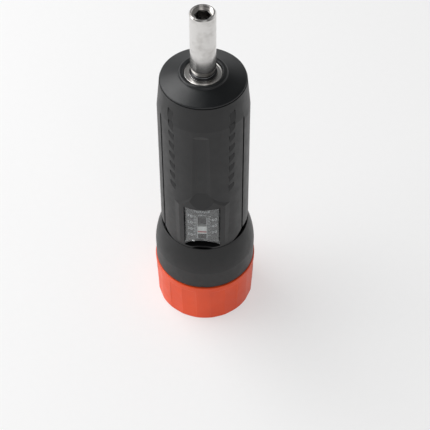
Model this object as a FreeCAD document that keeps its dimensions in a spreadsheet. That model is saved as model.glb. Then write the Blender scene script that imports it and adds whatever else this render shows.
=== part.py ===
"""Torque screwdriver, standing on its adjusting knob. Millimetres, +Z up, window towards -Y."""
import FreeCAD, Part
import math
import os

import Sketcher

DIMENSIONS = [
    # adjusting knob
    ("knob_height", 27.0, "height of the knob"),
    ("knob_top_radius", 25.65, "outer radius at the knob's top edge"),
    ("knob_foot_radius", 25.15, "outer radius at the knob's foot"),
    ("knob_foot_round", 0.9, "rounding of the foot edge"),
    ("knob_top_round", 0.5, "rounding of the top edge"),
    ("knob_wall", 3.6, "wall at the foot"),
    ("knob_ledge", 1.4, "ledge that stops the foot cap"),
    ("knob_web", 4.5, "thickness of the top web"),
    ("knob_hub_radius", 7.6, "outer radius of the hub"),
    ("knob_hub_length", 13.5, "hub length below the web"),
    ("knob_rib_count", 6, "ribs between hub and wall"),
    ("knob_rib_thickness", 1.6, "thickness of a rib"),
    ("knob_rib_height", 8.0, "height of a rib below the web"),
    ("grip_count", 7, "sunk grip panels round the knob"),
    ("grip_depth", 0.4, "depth of a sunk grip panel"),
    ("grip_margin", 3.4, "band left above the grip panels"),
    ("grip_turn", 1.1, "turn of the grip pattern from the front, degrees"),
    ("cap_thickness", 2.2, "foot cap thickness"),
    ("cap_recess", 0.8, "foot cap set back from the foot"),
    ("cap_clearance", 0.15, "radial gap round the foot cap"),
    ("ring_radius", 15.0, "middle radius of the friction ring"),
    ("ring_section", 1.0, "section radius of the friction ring"),
    ("ring_clearance", 0.05, "gap round the friction ring"),
    ("knob_screw_radius", 2.0, "retaining screw radius"),
    ("knob_screw_length", 9.0, "retaining screw length in the shaft"),
    ("knob_screw_head_radius", 3.8, "retaining screw head radius"),
    ("knob_screw_head_height", 2.4, "retaining screw head height"),
    ("knob_screw_recess_flats", 2.5, "hexagon recess of the retaining screw"),
    ("knob_washer_radius", 6.6, "retaining washer radius"),
    ("knob_washer_thickness", 0.9, "retaining washer thickness"),
    # lead screw
    ("drive_hex_flats", 9.0, "hexagon that drives the lead screw"),
    ("drive_hex_setback", 0.3, "end of the hexagon inside the hub"),
    ("hex_clearance", 0.05, "gap at each flat of a hexagon fit"),
    ("journal_radius", 5.5, "lead screw journal radius"),
    ("screw_flange_radius", 9.0, "lead screw thrust flange radius"),
    ("screw_flange", 3.0, "lead screw thrust flange thickness"),
    ("thread_radius", 5.0, "lead screw thread radius"),
    ("thread_clearance", 0.1, "radial gap in a thread"),
    ("thread_overrun", 5.0, "thread beyond the nut's highest place"),
    ("running_gap", 0.05, "radial gap of a running fit"),
    ("sliding_gap", 0.1, "radial gap of a sliding fit"),
    # collar
    ("collar_gap", 0.4, "gap between knob and collar"),
    ("collar_radius", 25.15, "outer radius of the collar band"),
    ("collar_band", 11.4, "height of the straight band"),
    ("collar_height", 27.0, "height of the collar"),
    ("collar_rim_radius", 22.3, "radius where shoulder and rim chamfer meet"),
    ("collar_rim_drop", 1.5, "height of the rim chamfer"),
    ("collar_rim_land", 21.7, "outer radius of the flat rim"),
    ("collar_shoulder_arc", 50.0, "radius of the shoulder's curve"),
    ("collar_floor", 6.0, "floor thickness"),
    ("moat_radius", 21.2, "inner radius of the rim, round the handle's neck"),
    ("moat_depth", 4.6, "depth of the open ring between rim and neck"),
    ("index_width", 2.4, "width of the index mark in the collar's foot"),
    ("index_height", 2.6, "height of the index mark"),
    ("index_depth", 0.4, "depth of the index mark"),
    ("collar_screw_count", 3, "screws between collar and handle"),
    ("collar_screw_circle", 16.4, "radius of the screws' circle"),
    ("collar_screw_radius", 1.5, "collar screw radius"),
    ("collar_screw_length", 13.0, "collar screw length under the head"),
    ("collar_screw_head_radius", 2.75, "collar screw head radius"),
    ("collar_screw_head_height", 2.0, "collar screw head height"),
    ("collar_screw_head_depth", 2.6, "depth of the head's pocket"),
    ("screw_hole_gap", 0.05, "radial gap round a fastener"),
    ("bush_radius", 7.2, "lead screw bush radius"),
    ("bush_flange_radius", 10.0, "lead screw bush flange radius"),
    ("bush_flange", 1.0, "lead screw bush flange thickness"),
    ("thrust_washer_radius", 9.6, "thrust washer radius"),
    ("thrust_washer_thickness", 1.0, "thrust washer thickness"),
    ("seat_gap", 0.02, "gap under a turning shoulder"),
    # handle
    ("handle_height", 95.1, "handle above the collar"),
    ("handle_foot_radius", 21.5, "handle radius at the collar"),
    ("handle_top_radius", 20.95, "handle radius where the top taper starts"),
    ("handle_taper", 13.0, "height of the top taper"),
    ("handle_rim_radius", 19.67, "handle radius at its top edge"),
    ("neck_radius", 19.8, "radius of the neck inside the collar"),
    ("neck_clearance", 0.1, "radial gap between neck and collar"),
    ("neck_open_height", 4.9, "height of the open ring above the collar, at the sides"),
    ("neck_open_reach", 9.5, "half length of the full height open ring, front to back"),
    ("neck_open_slope", 6.3, "length over which the open ring closes"),
    ("bore_radius", 13.0, "main bore radius"),
    ("key_width", 5.0, "width of a key slot"),
    ("key_reach", 15.2, "radius of a key slot's floor"),
    ("web_thickness", 4.5, "inner web under the nose"),
    ("nose_socket_depth", 13.5, "depth of the nose socket"),
    ("nose_socket_radius", 16.1, "radius of the nose socket"),
    ("side_panel_height", 0.22, "height of the side panels over the front"),
    ("side_panel_angle", 62.0, "edge of the side panels from the front, degrees"),
    ("side_groove_width", 0.7, "width of the long side grooves"),
    ("side_groove_depth", 0.65, "depth of the long side grooves"),
    ("side_groove_top", 12.8, "side grooves end this far below the top"),
    ("flute_floor", 4.8, "floor width of the front flute"),
    ("flute_width", 12.6, "width of the front flute at the surface"),
    ("flute_depth", 0.75, "depth of the front flute"),
    ("flute_top", 14.8, "flute ends this far below the top"),
    ("flute_run_out", 3.0, "length of the flute's sloping end"),
    ("notch_count", 8, "notches in a column"),
    ("notch_pitch", 6.56, "distance between notches"),
    ("notch_first", 4.9, "first notch below the top edge"),
    ("notch_reach", 13.6, "middle of a notch column from the tool's middle plane"),
    ("notch_lean", 6.0, "how far a notch faces forwards of its own radius, degrees"),
    ("notch_length", 3.2, "width of a notch"),
    ("notch_rise", 0.75, "rise of a notch's step towards its outer end"),
    ("notch_slit", 0.9, "height of the slit under a notch's step"),
    ("notch_slit_depth", 1.9, "depth of the slit"),
    ("notch_slit_ceiling", 0.27, "fall of the slit's ceiling towards its floor"),
    ("notch_depth", 0.6, "depth of a notch's ramp at the slit"),
    ("notch_run", 4.0, "height over which a notch runs out"),
    ("notch_groove", 0.6, "width of the groove down a notch's inner side"),
    ("notch_groove_depth", 1.5, "depth of that groove at the slit"),
    ("notch_groove_run", 3.3, "height over which that groove runs out"),
    ("notch_overcut", 0.8, "how far a notch's tool stands out of the surface"),
    # window
    ("housing_radius", 22.0, "radius of the window housing"),
    ("housing_plane", 16.0, "distance of the plane that carries the housing's outline"),
    ("housing_half_width", 13.87, "half width of the housing in that plane"),
    ("housing_bevel", 43.0, "bevel of the housing's edges, degrees"),
    ("housing_shoulder", 31.9, "height of the housing's straight sides over the collar"),
    ("housing_gable", 58.0, "slope of the housing's gable, degrees"),
    ("ramp_foot", 30.6, "height over the collar where the ramp starts"),
    ("ramp_slope", 8.7, "slope of the ramp over the window, degrees"),
    ("window_half_width", 8.7, "half width of the window"),
    ("window_sill", 1.2, "sill over the collar"),
    ("window_top", 30.4, "window top over the collar"),
    ("window_ledge", 2.3, "ledge round the window that carries the plate"),
    ("window_ledge_radius", 19.3, "radius of the ledge"),
    ("plate_gap", 0.1, "gap between plates and their seats"),
    ("scale_plate_thickness", 0.6, "scale plate thickness"),
    ("lens_thickness", 1.3, "lens thickness"),
    ("lens_arch_height", 6.6, "top of the arch in the lens over the collar"),
    ("lens_arch_radius", 10.4, "radius of the arch"),
    ("scale_start", 10.0, "reading 10 over the collar"),
    ("scale_step", 0.235, "travel for one unit of the scale"),
    ("scale_low", 10, "lowest reading"),
    ("scale_high", 70, "highest reading"),
    ("rest_reading", 17, "reading as it stands"),
    ("slot_half_width", 2.1, "half width of the scale slot"),
    ("slot_foot", 7.6, "slot foot over the collar"),
    ("slot_top", 23.7, "slot top over the collar"),
    # indicator and nut
    ("indicator_half_width", 2.6, "half width of the indicator"),
    ("indicator_below", 1.5, "indicator below its line"),
    ("indicator_above", 4.0, "indicator above its line"),
    ("indicator_depth", 1.5, "indicator depth, front to back"),
    ("indicator_gap", 0.35, "gap between indicator and scale plate"),
    ("line_height", 0.9, "height of the red line"),
    ("line_depth", 0.4, "depth of the red line's groove"),
    ("line_proud", 0.08, "red line proud of the block"),
    ("nut_height", 12.0, "nut height"),
    ("nut_above_line", 6.0, "nut above the indicator's line"),
    ("nut_arm_half_width", 2.9, "half width of the nut's arm"),
    ("nut_arm_margin", 0.8, "arm beyond the indicator, above and below"),
    ("key_gap", 0.1, "gap at each side of a key"),
    ("key_height", 8.0, "height of the nut's keys"),
    # spring and clutch
    ("seat_radius", 12.4, "spring seat radius"),
    ("seat_bore", 5.8, "spring seat bore radius"),
    ("seat_thickness", 1.5, "spring seat thickness"),
    ("wire_radius", 1.5, "spring wire radius"),
    ("coil_radius", 9.3, "spring mean radius"),
    ("coil_turns", 7.0, "turns between the seats"),
    ("cam_radius", 12.9, "clutch cam radius"),
    ("cam_thickness", 8.0, "clutch cam thickness under the teeth"),
    ("cam_key_height", 6.0, "height of the cam's keys"),
    ("tooth_count", 3, "teeth of the face cam"),
    ("tooth_height", 2.0, "height of a tooth"),
    ("tooth_ramp", 50.0, "ramp of a tooth, degrees"),
    ("tooth_land", 10.0, "land of a tooth, degrees"),
    ("tooth_clearance", 1.0, "angular gap at the steps of the teeth, degrees"),
    ("tooth_gap", 0.1, "gap between the meshed cams"),
    ("tooth_inner", 7.0, "inner radius of the teeth"),
    ("tooth_outer", 12.0, "outer radius of the teeth"),
    # spindle
    ("spindle_flange", 4.0, "spindle flange thickness"),
    ("spindle_pilot_radius", 4.5, "pilot radius in the cam"),
    ("spindle_pilot_length", 6.0, "pilot length below the teeth"),
    ("spindle_radius", 5.2, "spindle journal radius"),
    ("spindle_bush_radius", 7.5, "spindle bush radius"),
    ("spindle_bush_flange", 1.5, "spindle bush flange thickness"),
    ("spindle_bush_flange_radius", 11.8, "spindle bush flange radius"),
    ("spindle_end", 1.1, "spindle end over the bearing"),
    ("shank_depth", 12.0, "depth of the spindle's hexagon socket"),
    ("bit_flats", 6.35, "hexagon of a bit and of the holder's shank"),
    ("spacer_wall", 1.15, "bearing spacer wall"),
    ("circlip_thickness", 0.6, "circlip thickness"),
    ("circlip_reach", 0.95, "circlip beyond the spindle"),
    ("circlip_groove", 0.5, "depth of the circlip groove"),
    ("circlip_opening", 3.2, "opening of the circlip"),
    # nose and bearing
    ("nose_gap", 0.3, "gap between nose rim and handle"),
    ("nose_rim", 0.7, "thickness of the nose rim"),
    ("nose_rim_radius", 19.4, "radius of the nose rim"),
    ("nose_rim_break", 0.2, "broken edge of the nose rim"),
    ("nose_spigot_wall", 3.0, "wall of the nose spigot"),
    ("nose_spigot_gap", 2.0, "room under the nose spigot"),
    ("nose_plate", 3.4, "thickness of the nose face"),
    ("boss_radius", 10.9, "radius of the boss"),
    ("boss_root", 0.5, "fillet between the nose's cone and the boss"),
    ("boss_height", 3.6, "boss over the nose rim"),
    ("boss_round", 0.7, "rounding of the boss"),
    ("bearing_radius", 8.7, "bearing outer radius"),
    ("bearing_width", 5.2, "bearing width"),
    ("bearing_recess", 0.7, "bearing face below the boss"),
    ("bearing_seat", 1.4, "lip under the bearing"),
    ("bearing_fit", 0.02, "gap of a bearing seat"),
    ("race_wall", 1.0, "race thickness"),
    ("ball_radius", 1.05, "ball radius"),
    ("ball_count", 8, "balls"),
    ("ball_gap", 0.03, "gap between ball and groove"),
    ("cage_half_height", 1.5, "half height of the cage"),
    ("cage_half_wall", 0.3, "half wall of the cage"),
    ("cage_pocket_gap", 0.07, "gap round a ball in the cage"),
    ("shield_thickness", 0.3, "shield thickness"),
    ("shield_recess", 0.3, "shield below the bearing face"),
    ("shield_step", 0.22, "step in the outer race that holds the shield"),
    ("shield_gap", 0.15, "gap between shield and inner race"),
    # bit holder
    ("holder_length", 32.95, "bit holder over the spindle"),
    ("holder_radius", 5.75, "bit holder radius"),
    ("holder_foot_radius", 5.25, "bit holder radius at its foot"),
    ("holder_foot_taper", 3.2, "height of the foot taper"),
    ("holder_chamfer", 0.55, "chamfer at the mouth"),
    ("mouth_radius", 4.475, "round counterbore at the mouth"),
    ("mouth_depth", 1.6, "depth of the counterbore"),
    ("socket_depth", 14.0, "depth of the bit socket"),
    ("shank_end_gap", 0.4, "gap under the holder's shank"),
    ("magnet_radius", 3.0, "magnet radius"),
    ("magnet_length", 5.0, "magnet length"),
    ("magnet_gap", 0.05, "radial gap round the magnet"),
    ("ring_groove_below", 5.5, "retaining ring below the mouth"),
    ("ring_wire", 0.8, "retaining ring height"),
    ("ring_inner", 3.35, "retaining ring inner radius"),
    ("ring_outer", 4.15, "retaining ring outer radius"),
    ("ring_groove_radius", 4.25, "retaining ring groove radius"),
    ("ring_opening", 2.0, "opening of the retaining ring"),
]

doc = FreeCAD.newDocument("torque_screwdriver")
sheet = doc.addObject("Spreadsheet::Sheet", "dim")
for row, (alias, value, meaning) in enumerate(DIMENSIONS, start=1):
    sheet.set("A%d" % row, meaning)
    sheet.set("B%d" % row, str(value))
    sheet.setAlias("B%d" % row, alias)
doc.recompute()


def value_of(expression):
    """The number that an expression over the sheet's names gives."""
    result = sheet.evalExpression(expression)
    return float(getattr(result, "Value", result))


def total(*terms):
    """One expression that adds its terms."""
    return "(" + " + ".join(terms) + ")"


def less(first, *terms):
    """One expression that takes the other terms from the first."""
    return "(" + first + "".join(" - (%s)" % term for term in terms) + ")"


# Levels up the axis, each from the sheet's sizes.
KNOB_TOP = "dim.knob_height"
WEB_UNDER = less(KNOB_TOP, "dim.knob_web")
HUB_FOOT = less(WEB_UNDER, "dim.knob_hub_length")
CAP_TOP = total("dim.cap_recess", "dim.cap_thickness")
COLLAR_FOOT = total(KNOB_TOP, "dim.collar_gap")
FLOOR_TOP = total(COLLAR_FOOT, "dim.collar_floor")
COLLAR_TOP = total(COLLAR_FOOT, "dim.collar_height")
BUSH_TOP = total(FLOOR_TOP, "dim.bush_flange")
WASHER_TOP = total(BUSH_TOP, "dim.thrust_washer_thickness")
FLANGE_FOOT = total(WASHER_TOP, "dim.seat_gap")
FLANGE_TOP = total(FLANGE_FOOT, "dim.screw_flange")
HANDLE_TOP = total(COLLAR_TOP, "dim.handle_height")
WEB_TOP = less(HANDLE_TOP, "dim.nose_socket_depth")
WEB_FOOT = less(WEB_TOP, "dim.web_thickness")
SPINDLE_FLANGE_TOP = less(WEB_FOOT, "dim.spindle_bush_flange", "dim.seat_gap")
SPINDLE_FLANGE_FOOT = less(SPINDLE_FLANGE_TOP, "dim.spindle_flange")
SPINDLE_TEETH_FOOT = less(SPINDLE_FLANGE_FOOT, "dim.tooth_height")
CAM_BASE = less(SPINDLE_TEETH_FOOT, "dim.tooth_gap")
CAM_FOOT = less(CAM_BASE, "dim.cam_thickness")
UPPER_SEAT_FOOT = less(CAM_FOOT, "dim.seat_thickness")
LINE_LEVEL = total(COLLAR_TOP, "dim.scale_start",
                   "(dim.rest_reading - dim.scale_low) * dim.scale_step")
TRAVEL_UP = "((dim.scale_high - dim.rest_reading) * dim.scale_step)"
NUT_TOP = total(LINE_LEVEL, "dim.nut_above_line")
NUT_FOOT = less(NUT_TOP, "dim.nut_height")
LOWER_SEAT_TOP = total(NUT_TOP, "dim.seat_thickness")
SCREW_TOP = total(NUT_TOP, TRAVEL_UP, "dim.thread_overrun")
NOSE_FOOT = total(HANDLE_TOP, "dim.nose_gap")
NOSE_FACE = total(NOSE_FOOT, "dim.nose_rim")
BOSS_TOP = total(NOSE_FACE, "dim.boss_height")
BEARING_TOP = less(BOSS_TOP, "dim.bearing_recess")
BEARING_FOOT = less(BEARING_TOP, "dim.bearing_width")
BEARING_MIDDLE = less(BEARING_TOP, "dim.bearing_width / 2")
SPINDLE_TOP = total(BEARING_TOP, "dim.spindle_end")
HOLDER_TOP = total(SPINDLE_TOP, "dim.holder_length")
SOCKET_FLOOR = less(HOLDER_TOP, "dim.socket_depth")

# Radii that pieces share.
INNER_RACE_RADIUS = total("dim.spindle_radius", "dim.bearing_fit", "dim.race_wall")
OUTER_RACE_RADIUS = less("dim.bearing_radius", "dim.race_wall")
BALL_CIRCLE = "((%s + %s) / 2)" % (INNER_RACE_RADIUS, OUTER_RACE_RADIUS)
PLATE_INNER = total("dim.window_ledge_radius", "dim.plate_gap")
PLATE_OUTER = total(PLATE_INNER, "dim.scale_plate_thickness")
LENS_INNER = total(PLATE_OUTER, "dim.plate_gap")
LENS_OUTER = total(LENS_INNER, "dim.lens_thickness")
NUT_RADIUS = less("dim.bore_radius", "dim.sliding_gap")
KEY_RADIUS = less("dim.key_reach", "dim.sliding_gap")
INDICATOR_FACE = less(PLATE_INNER, "dim.indicator_gap")


def plane_of(body, role):
    """The body's own origin plane of that role."""
    return next(item for item in body.Origin.OriginFeatures if item.Role == role)


def arc_between(start, end, radius):
    """An arc from start to end; a positive radius bulges to the right of the way it goes."""
    chord = end.sub(start)
    half = chord.Length / 2
    height = math.sqrt(radius * radius - half * half)
    side = FreeCAD.Vector(chord.y, -chord.x, 0)
    side.normalize()
    sagitta = abs(radius) - height
    middle = start.add(end).multiply(0.5).add(side.multiply(math.copysign(sagitta, radius)))
    return Part.Arc(start, middle, end)


def sketch_outline(body, name, role, points):
    """A closed sketch of corners, each an expression pair bound to the sheet.

    A third entry in a corner is the radius of the arc that leads to it.
    """
    sketch = body.newObject("Sketcher::SketchObject", name)
    sketch.AttachmentSupport = (plane_of(body, role), [""])
    sketch.MapMode = "FlatFace"
    places = [FreeCAD.Vector(value_of(p[0]), value_of(p[1]), 0) for p in points]
    starts = []
    ends = []
    count = len(points)
    for index in range(count):
        start, end = places[index], places[(index + 1) % count]
        target = points[(index + 1) % count]
        if len(target) == 3:
            curve = arc_between(start, end, value_of(target[2]))
            geometry = sketch.addGeometry(curve, False)
            forward = sketch.getPoint(geometry, 1).sub(start).Length < 1e-6
            starts.append((geometry, 1 if forward else 2))
            ends.append((geometry, 2 if forward else 1))
            bound = sketch.addConstraint(
                Sketcher.Constraint("Radius", geometry, abs(value_of(target[2]))))
            sketch.setExpression("Constraints[%d]" % bound, "abs(%s)" % target[2])
        else:
            geometry = sketch.addGeometry(Part.LineSegment(start, end), False)
            starts.append((geometry, 1))
            ends.append((geometry, 2))
    for index in range(count):
        sketch.addConstraint(Sketcher.Constraint("Coincident", *ends[index - 1], *starts[index]))
        for kind, expression, number in (("DistanceX", points[index][0], places[index].x),
                                         ("DistanceY", points[index][1], places[index].y)):
            bound = sketch.addConstraint(
                Sketcher.Constraint(kind, -1, 1, *starts[index], number))
            sketch.setExpression("Constraints[%d]" % bound, expression)
    return sketch


def turned(name, points):
    """A body turned about Z from (radius, level) corners."""
    body = doc.addObject("PartDesign::Body", name)
    sketch = sketch_outline(body, name + "_outline", "XZ_Plane", points)
    turn = body.newObject("PartDesign::Revolution", name + "_turn")
    turn.Profile = sketch
    turn.ReferenceAxis = (sketch, ["V_Axis"])
    turn.Angle = 360
    body.Tip = turn
    return body


def tube(name, inner, outer, foot, top):
    """A turned ring of plain section."""
    return turned(name, [(inner, foot), (outer, foot), (outer, top), (inner, top)])


def padded(name, role, points, length, offset="0", taper=None):
    """A Part extrusion of an outline drawn on one of the origin planes."""
    holder = doc.addObject("PartDesign::Body", name + "_plan")
    sketch = sketch_outline(holder, name + "_outline", role, points)
    pad = holder.newObject("PartDesign::Pad", name + "_pad")
    pad.Profile = sketch
    pad.setExpression("Length", length)
    if taper is not None:
        pad.setExpression("TaperAngle", taper)
    axis = {"XY_Plane": "z", "XZ_Plane": "y", "YZ_Plane": "x"}[role]
    sketch.setExpression("AttachmentOffset.Base.z", offset)
    holder.Tip = pad
    return holder


def bind(item, **expressions):
    """Bind properties, given with _ for each dot, to expressions."""
    for key, expression in expressions.items():
        item.setExpression(key, expression)
    return item


def place(item, x="0", y="0", level="0"):
    """Bind an object's place to expressions."""
    item.setExpression("Placement.Base.x", x)
    item.setExpression("Placement.Base.y", y)
    item.setExpression("Placement.Base.z", level)
    return item


def block(name, low, high):
    """A box between two corners given as expressions."""
    item = doc.addObject("Part::Box", name)
    for key, start, end in zip(("Length", "Width", "Height"), low, high):
        item.setExpression(key, "(%s) - (%s)" % (end, start))
    return place(item, *low)


def rod(name, radius, foot, top, x="0", y="0"):
    """A plain cylinder along Z."""
    item = doc.addObject("Part::Cylinder", name)
    bind(item, Radius=radius, Height="%s - %s" % (top, foot))
    return place(item, x, y, foot)


def hexagon(name, flats, foot, top):
    """A hexagonal bar along Z, its flats facing front and back."""
    item = doc.addObject("Part::Prism", name)
    item.Polygon = 6
    bind(item, Circumradius="%s / (2 * cos(30))" % flats, Height="%s - %s" % (top, foot))
    return place(item, level=foot)


def cut(name, base, *tools):
    """Base less every tool."""
    for index, tool in enumerate(tools):
        last = index == len(tools) - 1
        item = doc.addObject("Part::Cut", name if last else "%s_step%d" % (name, index))
        item.Base = base
        item.Tool = tool
        base = item
    return base


def fuse(name, *shapes):
    """One solid of several."""
    item = doc.addObject("Part::MultiFuse", name)
    item.Shapes = list(shapes)
    return item


def common(name, *shapes):
    """What several shapes share."""
    item = doc.addObject("Part::MultiCommon", name)
    item.Shapes = list(shapes)
    return item


def group(name, shapes):
    """Separate solids that share one node."""
    item = doc.addObject("Part::Compound", name)
    item.Links = list(shapes)
    return item


def feature(name, shape):
    """A shape made with Part's own functions from the sheet's values."""
    item = doc.addObject("Part::Feature", name)
    item.Shape = shape
    return item


NODES = []


def node(label, item):
    """Name a finished sub-part."""
    item.Label = label
    NODES.append(item)
    return item


def turned_about(item, angle, radius, level, side="0", lean="0"):
    """Put a box at a radius and level, turned about Z; its length points outwards."""
    degrees = value_of(angle)
    swing = FreeCAD.Rotation(FreeCAD.Vector(0, 0, 1), degrees)
    tip = FreeCAD.Rotation(FreeCAD.Vector(0, 1, 0), value_of(lean))
    base = swing.multVec(FreeCAD.Vector(value_of(radius), value_of(side), value_of(level)))
    item.Placement = FreeCAD.Placement(base, swing.multiply(tip))
    return item


def spoke(name, start, end, thickness, foot, top, angle, lean="0"):
    """A radial bar between two radii, turned about Z."""
    item = doc.addObject("Part::Box", name)
    bind(item, Length="%s - %s" % (end, start), Width=thickness, Height="%s - %s" % (top, foot))
    return turned_about(item, angle, start, foot, "-%s / 2" % thickness, lean)


def build_knob():
    """Orange knob: tapered wall with sunk grip flats, top web, ribbed hub, ring groove."""
    inner = less("dim.knob_foot_radius", "dim.knob_wall")
    ledge = less(inner, "dim.knob_ledge")
    groove_floor = less(COLLAR_FOOT, "dim.ring_clearance * 2", "dim.ring_section * 2")
    groove_half = total("dim.ring_section", "dim.ring_clearance")
    shell = turned("knob_shell", [
        ("0", HUB_FOOT), ("dim.knob_hub_radius", HUB_FOOT), ("dim.knob_hub_radius", WEB_UNDER),
        (ledge, WEB_UNDER), (ledge, CAP_TOP), (inner, CAP_TOP), (inner, "0"),
        ("dim.knob_foot_radius - dim.knob_foot_round", "0"),
        ("dim.knob_foot_radius", "dim.knob_foot_round", "dim.knob_foot_round"),
        ("dim.knob_top_radius", less(KNOB_TOP, "dim.knob_top_round")),
        ("dim.knob_top_radius - dim.knob_top_round", KNOB_TOP, "dim.knob_top_round"),
        (total("dim.ring_radius", groove_half), KNOB_TOP),
        (total("dim.ring_radius", groove_half), groove_floor),
        (less("dim.ring_radius", groove_half), groove_floor),
        (less("dim.ring_radius", groove_half), KNOB_TOP), ("0", KNOB_TOP)])
    ribs = [spoke("knob_rib%d" % i, "dim.knob_hub_radius - 0.5", total(ledge, "0.5"),
                  "dim.knob_rib_thickness", less(WEB_UNDER, "dim.knob_rib_height"), WEB_UNDER,
                  "%d * 360 / dim.knob_rib_count" % i)
            for i in range(int(value_of("dim.knob_rib_count")))]
    lean = "atan((dim.knob_top_radius - dim.knob_foot_radius) / dim.knob_height)"
    facet = "(360 / (3 * dim.grip_count))"
    flats = []
    for panel in range(int(value_of("dim.grip_count"))):
        for side in (1, 2):
            angle = "dim.grip_turn - 90 + %d * %s" % (3 * panel + side, facet)
            reach = "(dim.knob_foot_radius - dim.grip_depth)"
            flats.append(spoke("grip_flat%d_%d" % (panel, side), reach, total(reach, "4"),
                               "(2 * dim.knob_foot_radius * tan(%s / 2))" % facet, "-1",
                               less(KNOB_TOP, "dim.grip_margin"), angle, lean))
    drive = hexagon("knob_drive", total("dim.drive_hex_flats", "dim.hex_clearance * 2"),
                    less(HUB_FOOT, "1"), total(KNOB_TOP, "1"))
    body = fuse("knob_body", shell, *ribs)
    node("knob", cut("knob_cut", body, drive, group("grip_flats", flats)))


def build_knob_fittings():
    """Foot cap, friction ring, retaining screw and its washer."""
    inner = less("dim.knob_foot_radius", "dim.knob_wall", "dim.cap_clearance")
    node("knob_cap", turned("knob_cap_turned", [
        ("0", "dim.cap_recess + 0.5"), (less(inner, "3"), "dim.cap_recess + 0.5"),
        (less(inner, "2.4"), "dim.cap_recess"), (inner, "dim.cap_recess"), (inner, CAP_TOP),
        ("0", CAP_TOP)]))
    ring = doc.addObject("Part::Torus", "friction_ring_body")
    bind(ring, Radius1="dim.ring_radius", Radius2="dim.ring_section")
    node("friction_ring", place(ring, level=less(COLLAR_FOOT, "dim.ring_clearance",
                                                 "dim.ring_section")))
    washer_foot = less(HUB_FOOT, "dim.knob_washer_thickness")
    bore = total("dim.knob_screw_radius", "dim.screw_hole_gap")
    node("knob_washer", tube("knob_washer_turned", bore, "dim.knob_washer_radius", washer_foot,
                             HUB_FOOT))
    head_foot = less(washer_foot, "dim.knob_screw_head_height")
    shank_top = total(HUB_FOOT, "dim.drive_hex_setback", "dim.knob_screw_length")
    screw = turned("knob_screw_turned", [
        ("0", head_foot), ("dim.knob_screw_head_radius - 0.6", head_foot),
        ("dim.knob_screw_head_radius", total(head_foot, "0.6")),
        ("dim.knob_screw_head_radius", washer_foot), ("dim.knob_screw_radius", washer_foot),
        ("dim.knob_screw_radius", shank_top), ("0", shank_top)])
    recess = hexagon("knob_screw_recess", "dim.knob_screw_recess_flats", less(head_foot, "1"),
                     total(head_foot, "1.3"))
    node("knob_screw", cut("knob_screw_cut", screw, recess))


def build_adjusting_screw():
    """Lead screw: drive hexagon, journal, thrust flange and threaded bar."""
    hex_foot = total(HUB_FOOT, "dim.drive_hex_setback")
    bar = turned("adjusting_screw_turned", [
        ("0", KNOB_TOP), ("dim.journal_radius", KNOB_TOP), ("dim.journal_radius", FLANGE_FOOT),
        ("dim.screw_flange_radius", FLANGE_FOOT), ("dim.screw_flange_radius", FLANGE_TOP),
        ("dim.thread_radius", FLANGE_TOP), ("dim.thread_radius", less(SCREW_TOP, "0.8")),
        ("dim.thread_radius - 0.8", SCREW_TOP), ("0", SCREW_TOP)])
    drive = hexagon("screw_drive", "dim.drive_hex_flats", hex_foot, total(KNOB_TOP, "0.5"))
    tapped = rod("screw_tapped_hole", total("dim.knob_screw_radius", "dim.screw_hole_gap"),
                 less(hex_foot, "1"), total(hex_foot, "dim.knob_screw_length", "1"))
    node("adjusting_screw", cut("adjusting_screw_cut", fuse("screw_bar", bar, drive), tapped))


def collar_screw_places():
    """Expressions of the collar screws' centres; the first is at the back."""
    for index in range(int(value_of("dim.collar_screw_count"))):
        angle = "(90 + %d * 360 / dim.collar_screw_count)" % index
        yield index, ("dim.collar_screw_circle * cos(%s)" % angle,
                      "dim.collar_screw_circle * sin(%s)" % angle)


def build_collar():
    """Fixed shouldered ring with a floor for the lead screw's bush, its screws and index mark."""
    rim_foot = less(COLLAR_TOP, "dim.collar_rim_drop")
    band_top = total(COLLAR_FOOT, "dim.collar_band")
    moat_floor = less(COLLAR_TOP, "dim.moat_depth")
    socket = total("dim.neck_radius", "dim.neck_clearance")
    ring = turned("collar_turned", [
        ("dim.bush_radius", COLLAR_FOOT), (less("dim.collar_radius", "0.4"), COLLAR_FOOT),
        ("dim.collar_radius", total(COLLAR_FOOT, "0.4")), ("dim.collar_radius", band_top),
        ("dim.collar_rim_radius", rim_foot, "dim.collar_shoulder_arc"),
        ("dim.collar_rim_land", COLLAR_TOP), ("dim.moat_radius", COLLAR_TOP),
        ("dim.moat_radius", moat_floor), (socket, moat_floor), (socket, FLOOR_TOP),
        ("dim.bush_radius", FLOOR_TOP)])
    tools = []
    for index, (x, y) in collar_screw_places():
        tools.append(rod("collar_hole%d" % index,
                         total("dim.collar_screw_radius", "dim.screw_hole_gap"),
                         less(COLLAR_FOOT, "1"), total(FLOOR_TOP, "1"), x, y))
        tools.append(rod("collar_pocket%d" % index,
                         total("dim.collar_screw_head_radius", "0.2"), less(COLLAR_FOOT, "1"),
                         total(COLLAR_FOOT, "dim.collar_screw_head_depth"), x, y))
    mark = padded("index_mark", "XZ_Plane", [
        ("-dim.index_width / 2", total(COLLAR_FOOT, "-0.2")),
        ("dim.index_width / 2", total(COLLAR_FOOT, "-0.2")),
        ("0", total(COLLAR_FOOT, "dim.index_height"))],
        "dim.index_depth + 1", less("dim.collar_radius", "dim.index_depth"))
    node("collar", cut("collar_cut", ring, group("collar_holes", tools), mark))


def build_collar_screws():
    """Pan-head screws up through the collar's floor into the handle's neck."""
    screws = []
    head_top = total(COLLAR_FOOT, "dim.collar_screw_head_depth")
    for index, (x, y) in collar_screw_places():
        head = rod("collar_screw_head%d" % index, "dim.collar_screw_head_radius",
                   less(head_top, "dim.collar_screw_head_height"), head_top, x, y)
        shank = rod("collar_screw_shank%d" % index, "dim.collar_screw_radius",
                    head_top, total(head_top, "dim.collar_screw_length"), x, y)
        screws.append(fuse("collar_screw%d" % index, head, shank))
    node("collar_screws", group("collar_screw_set", screws))


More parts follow.
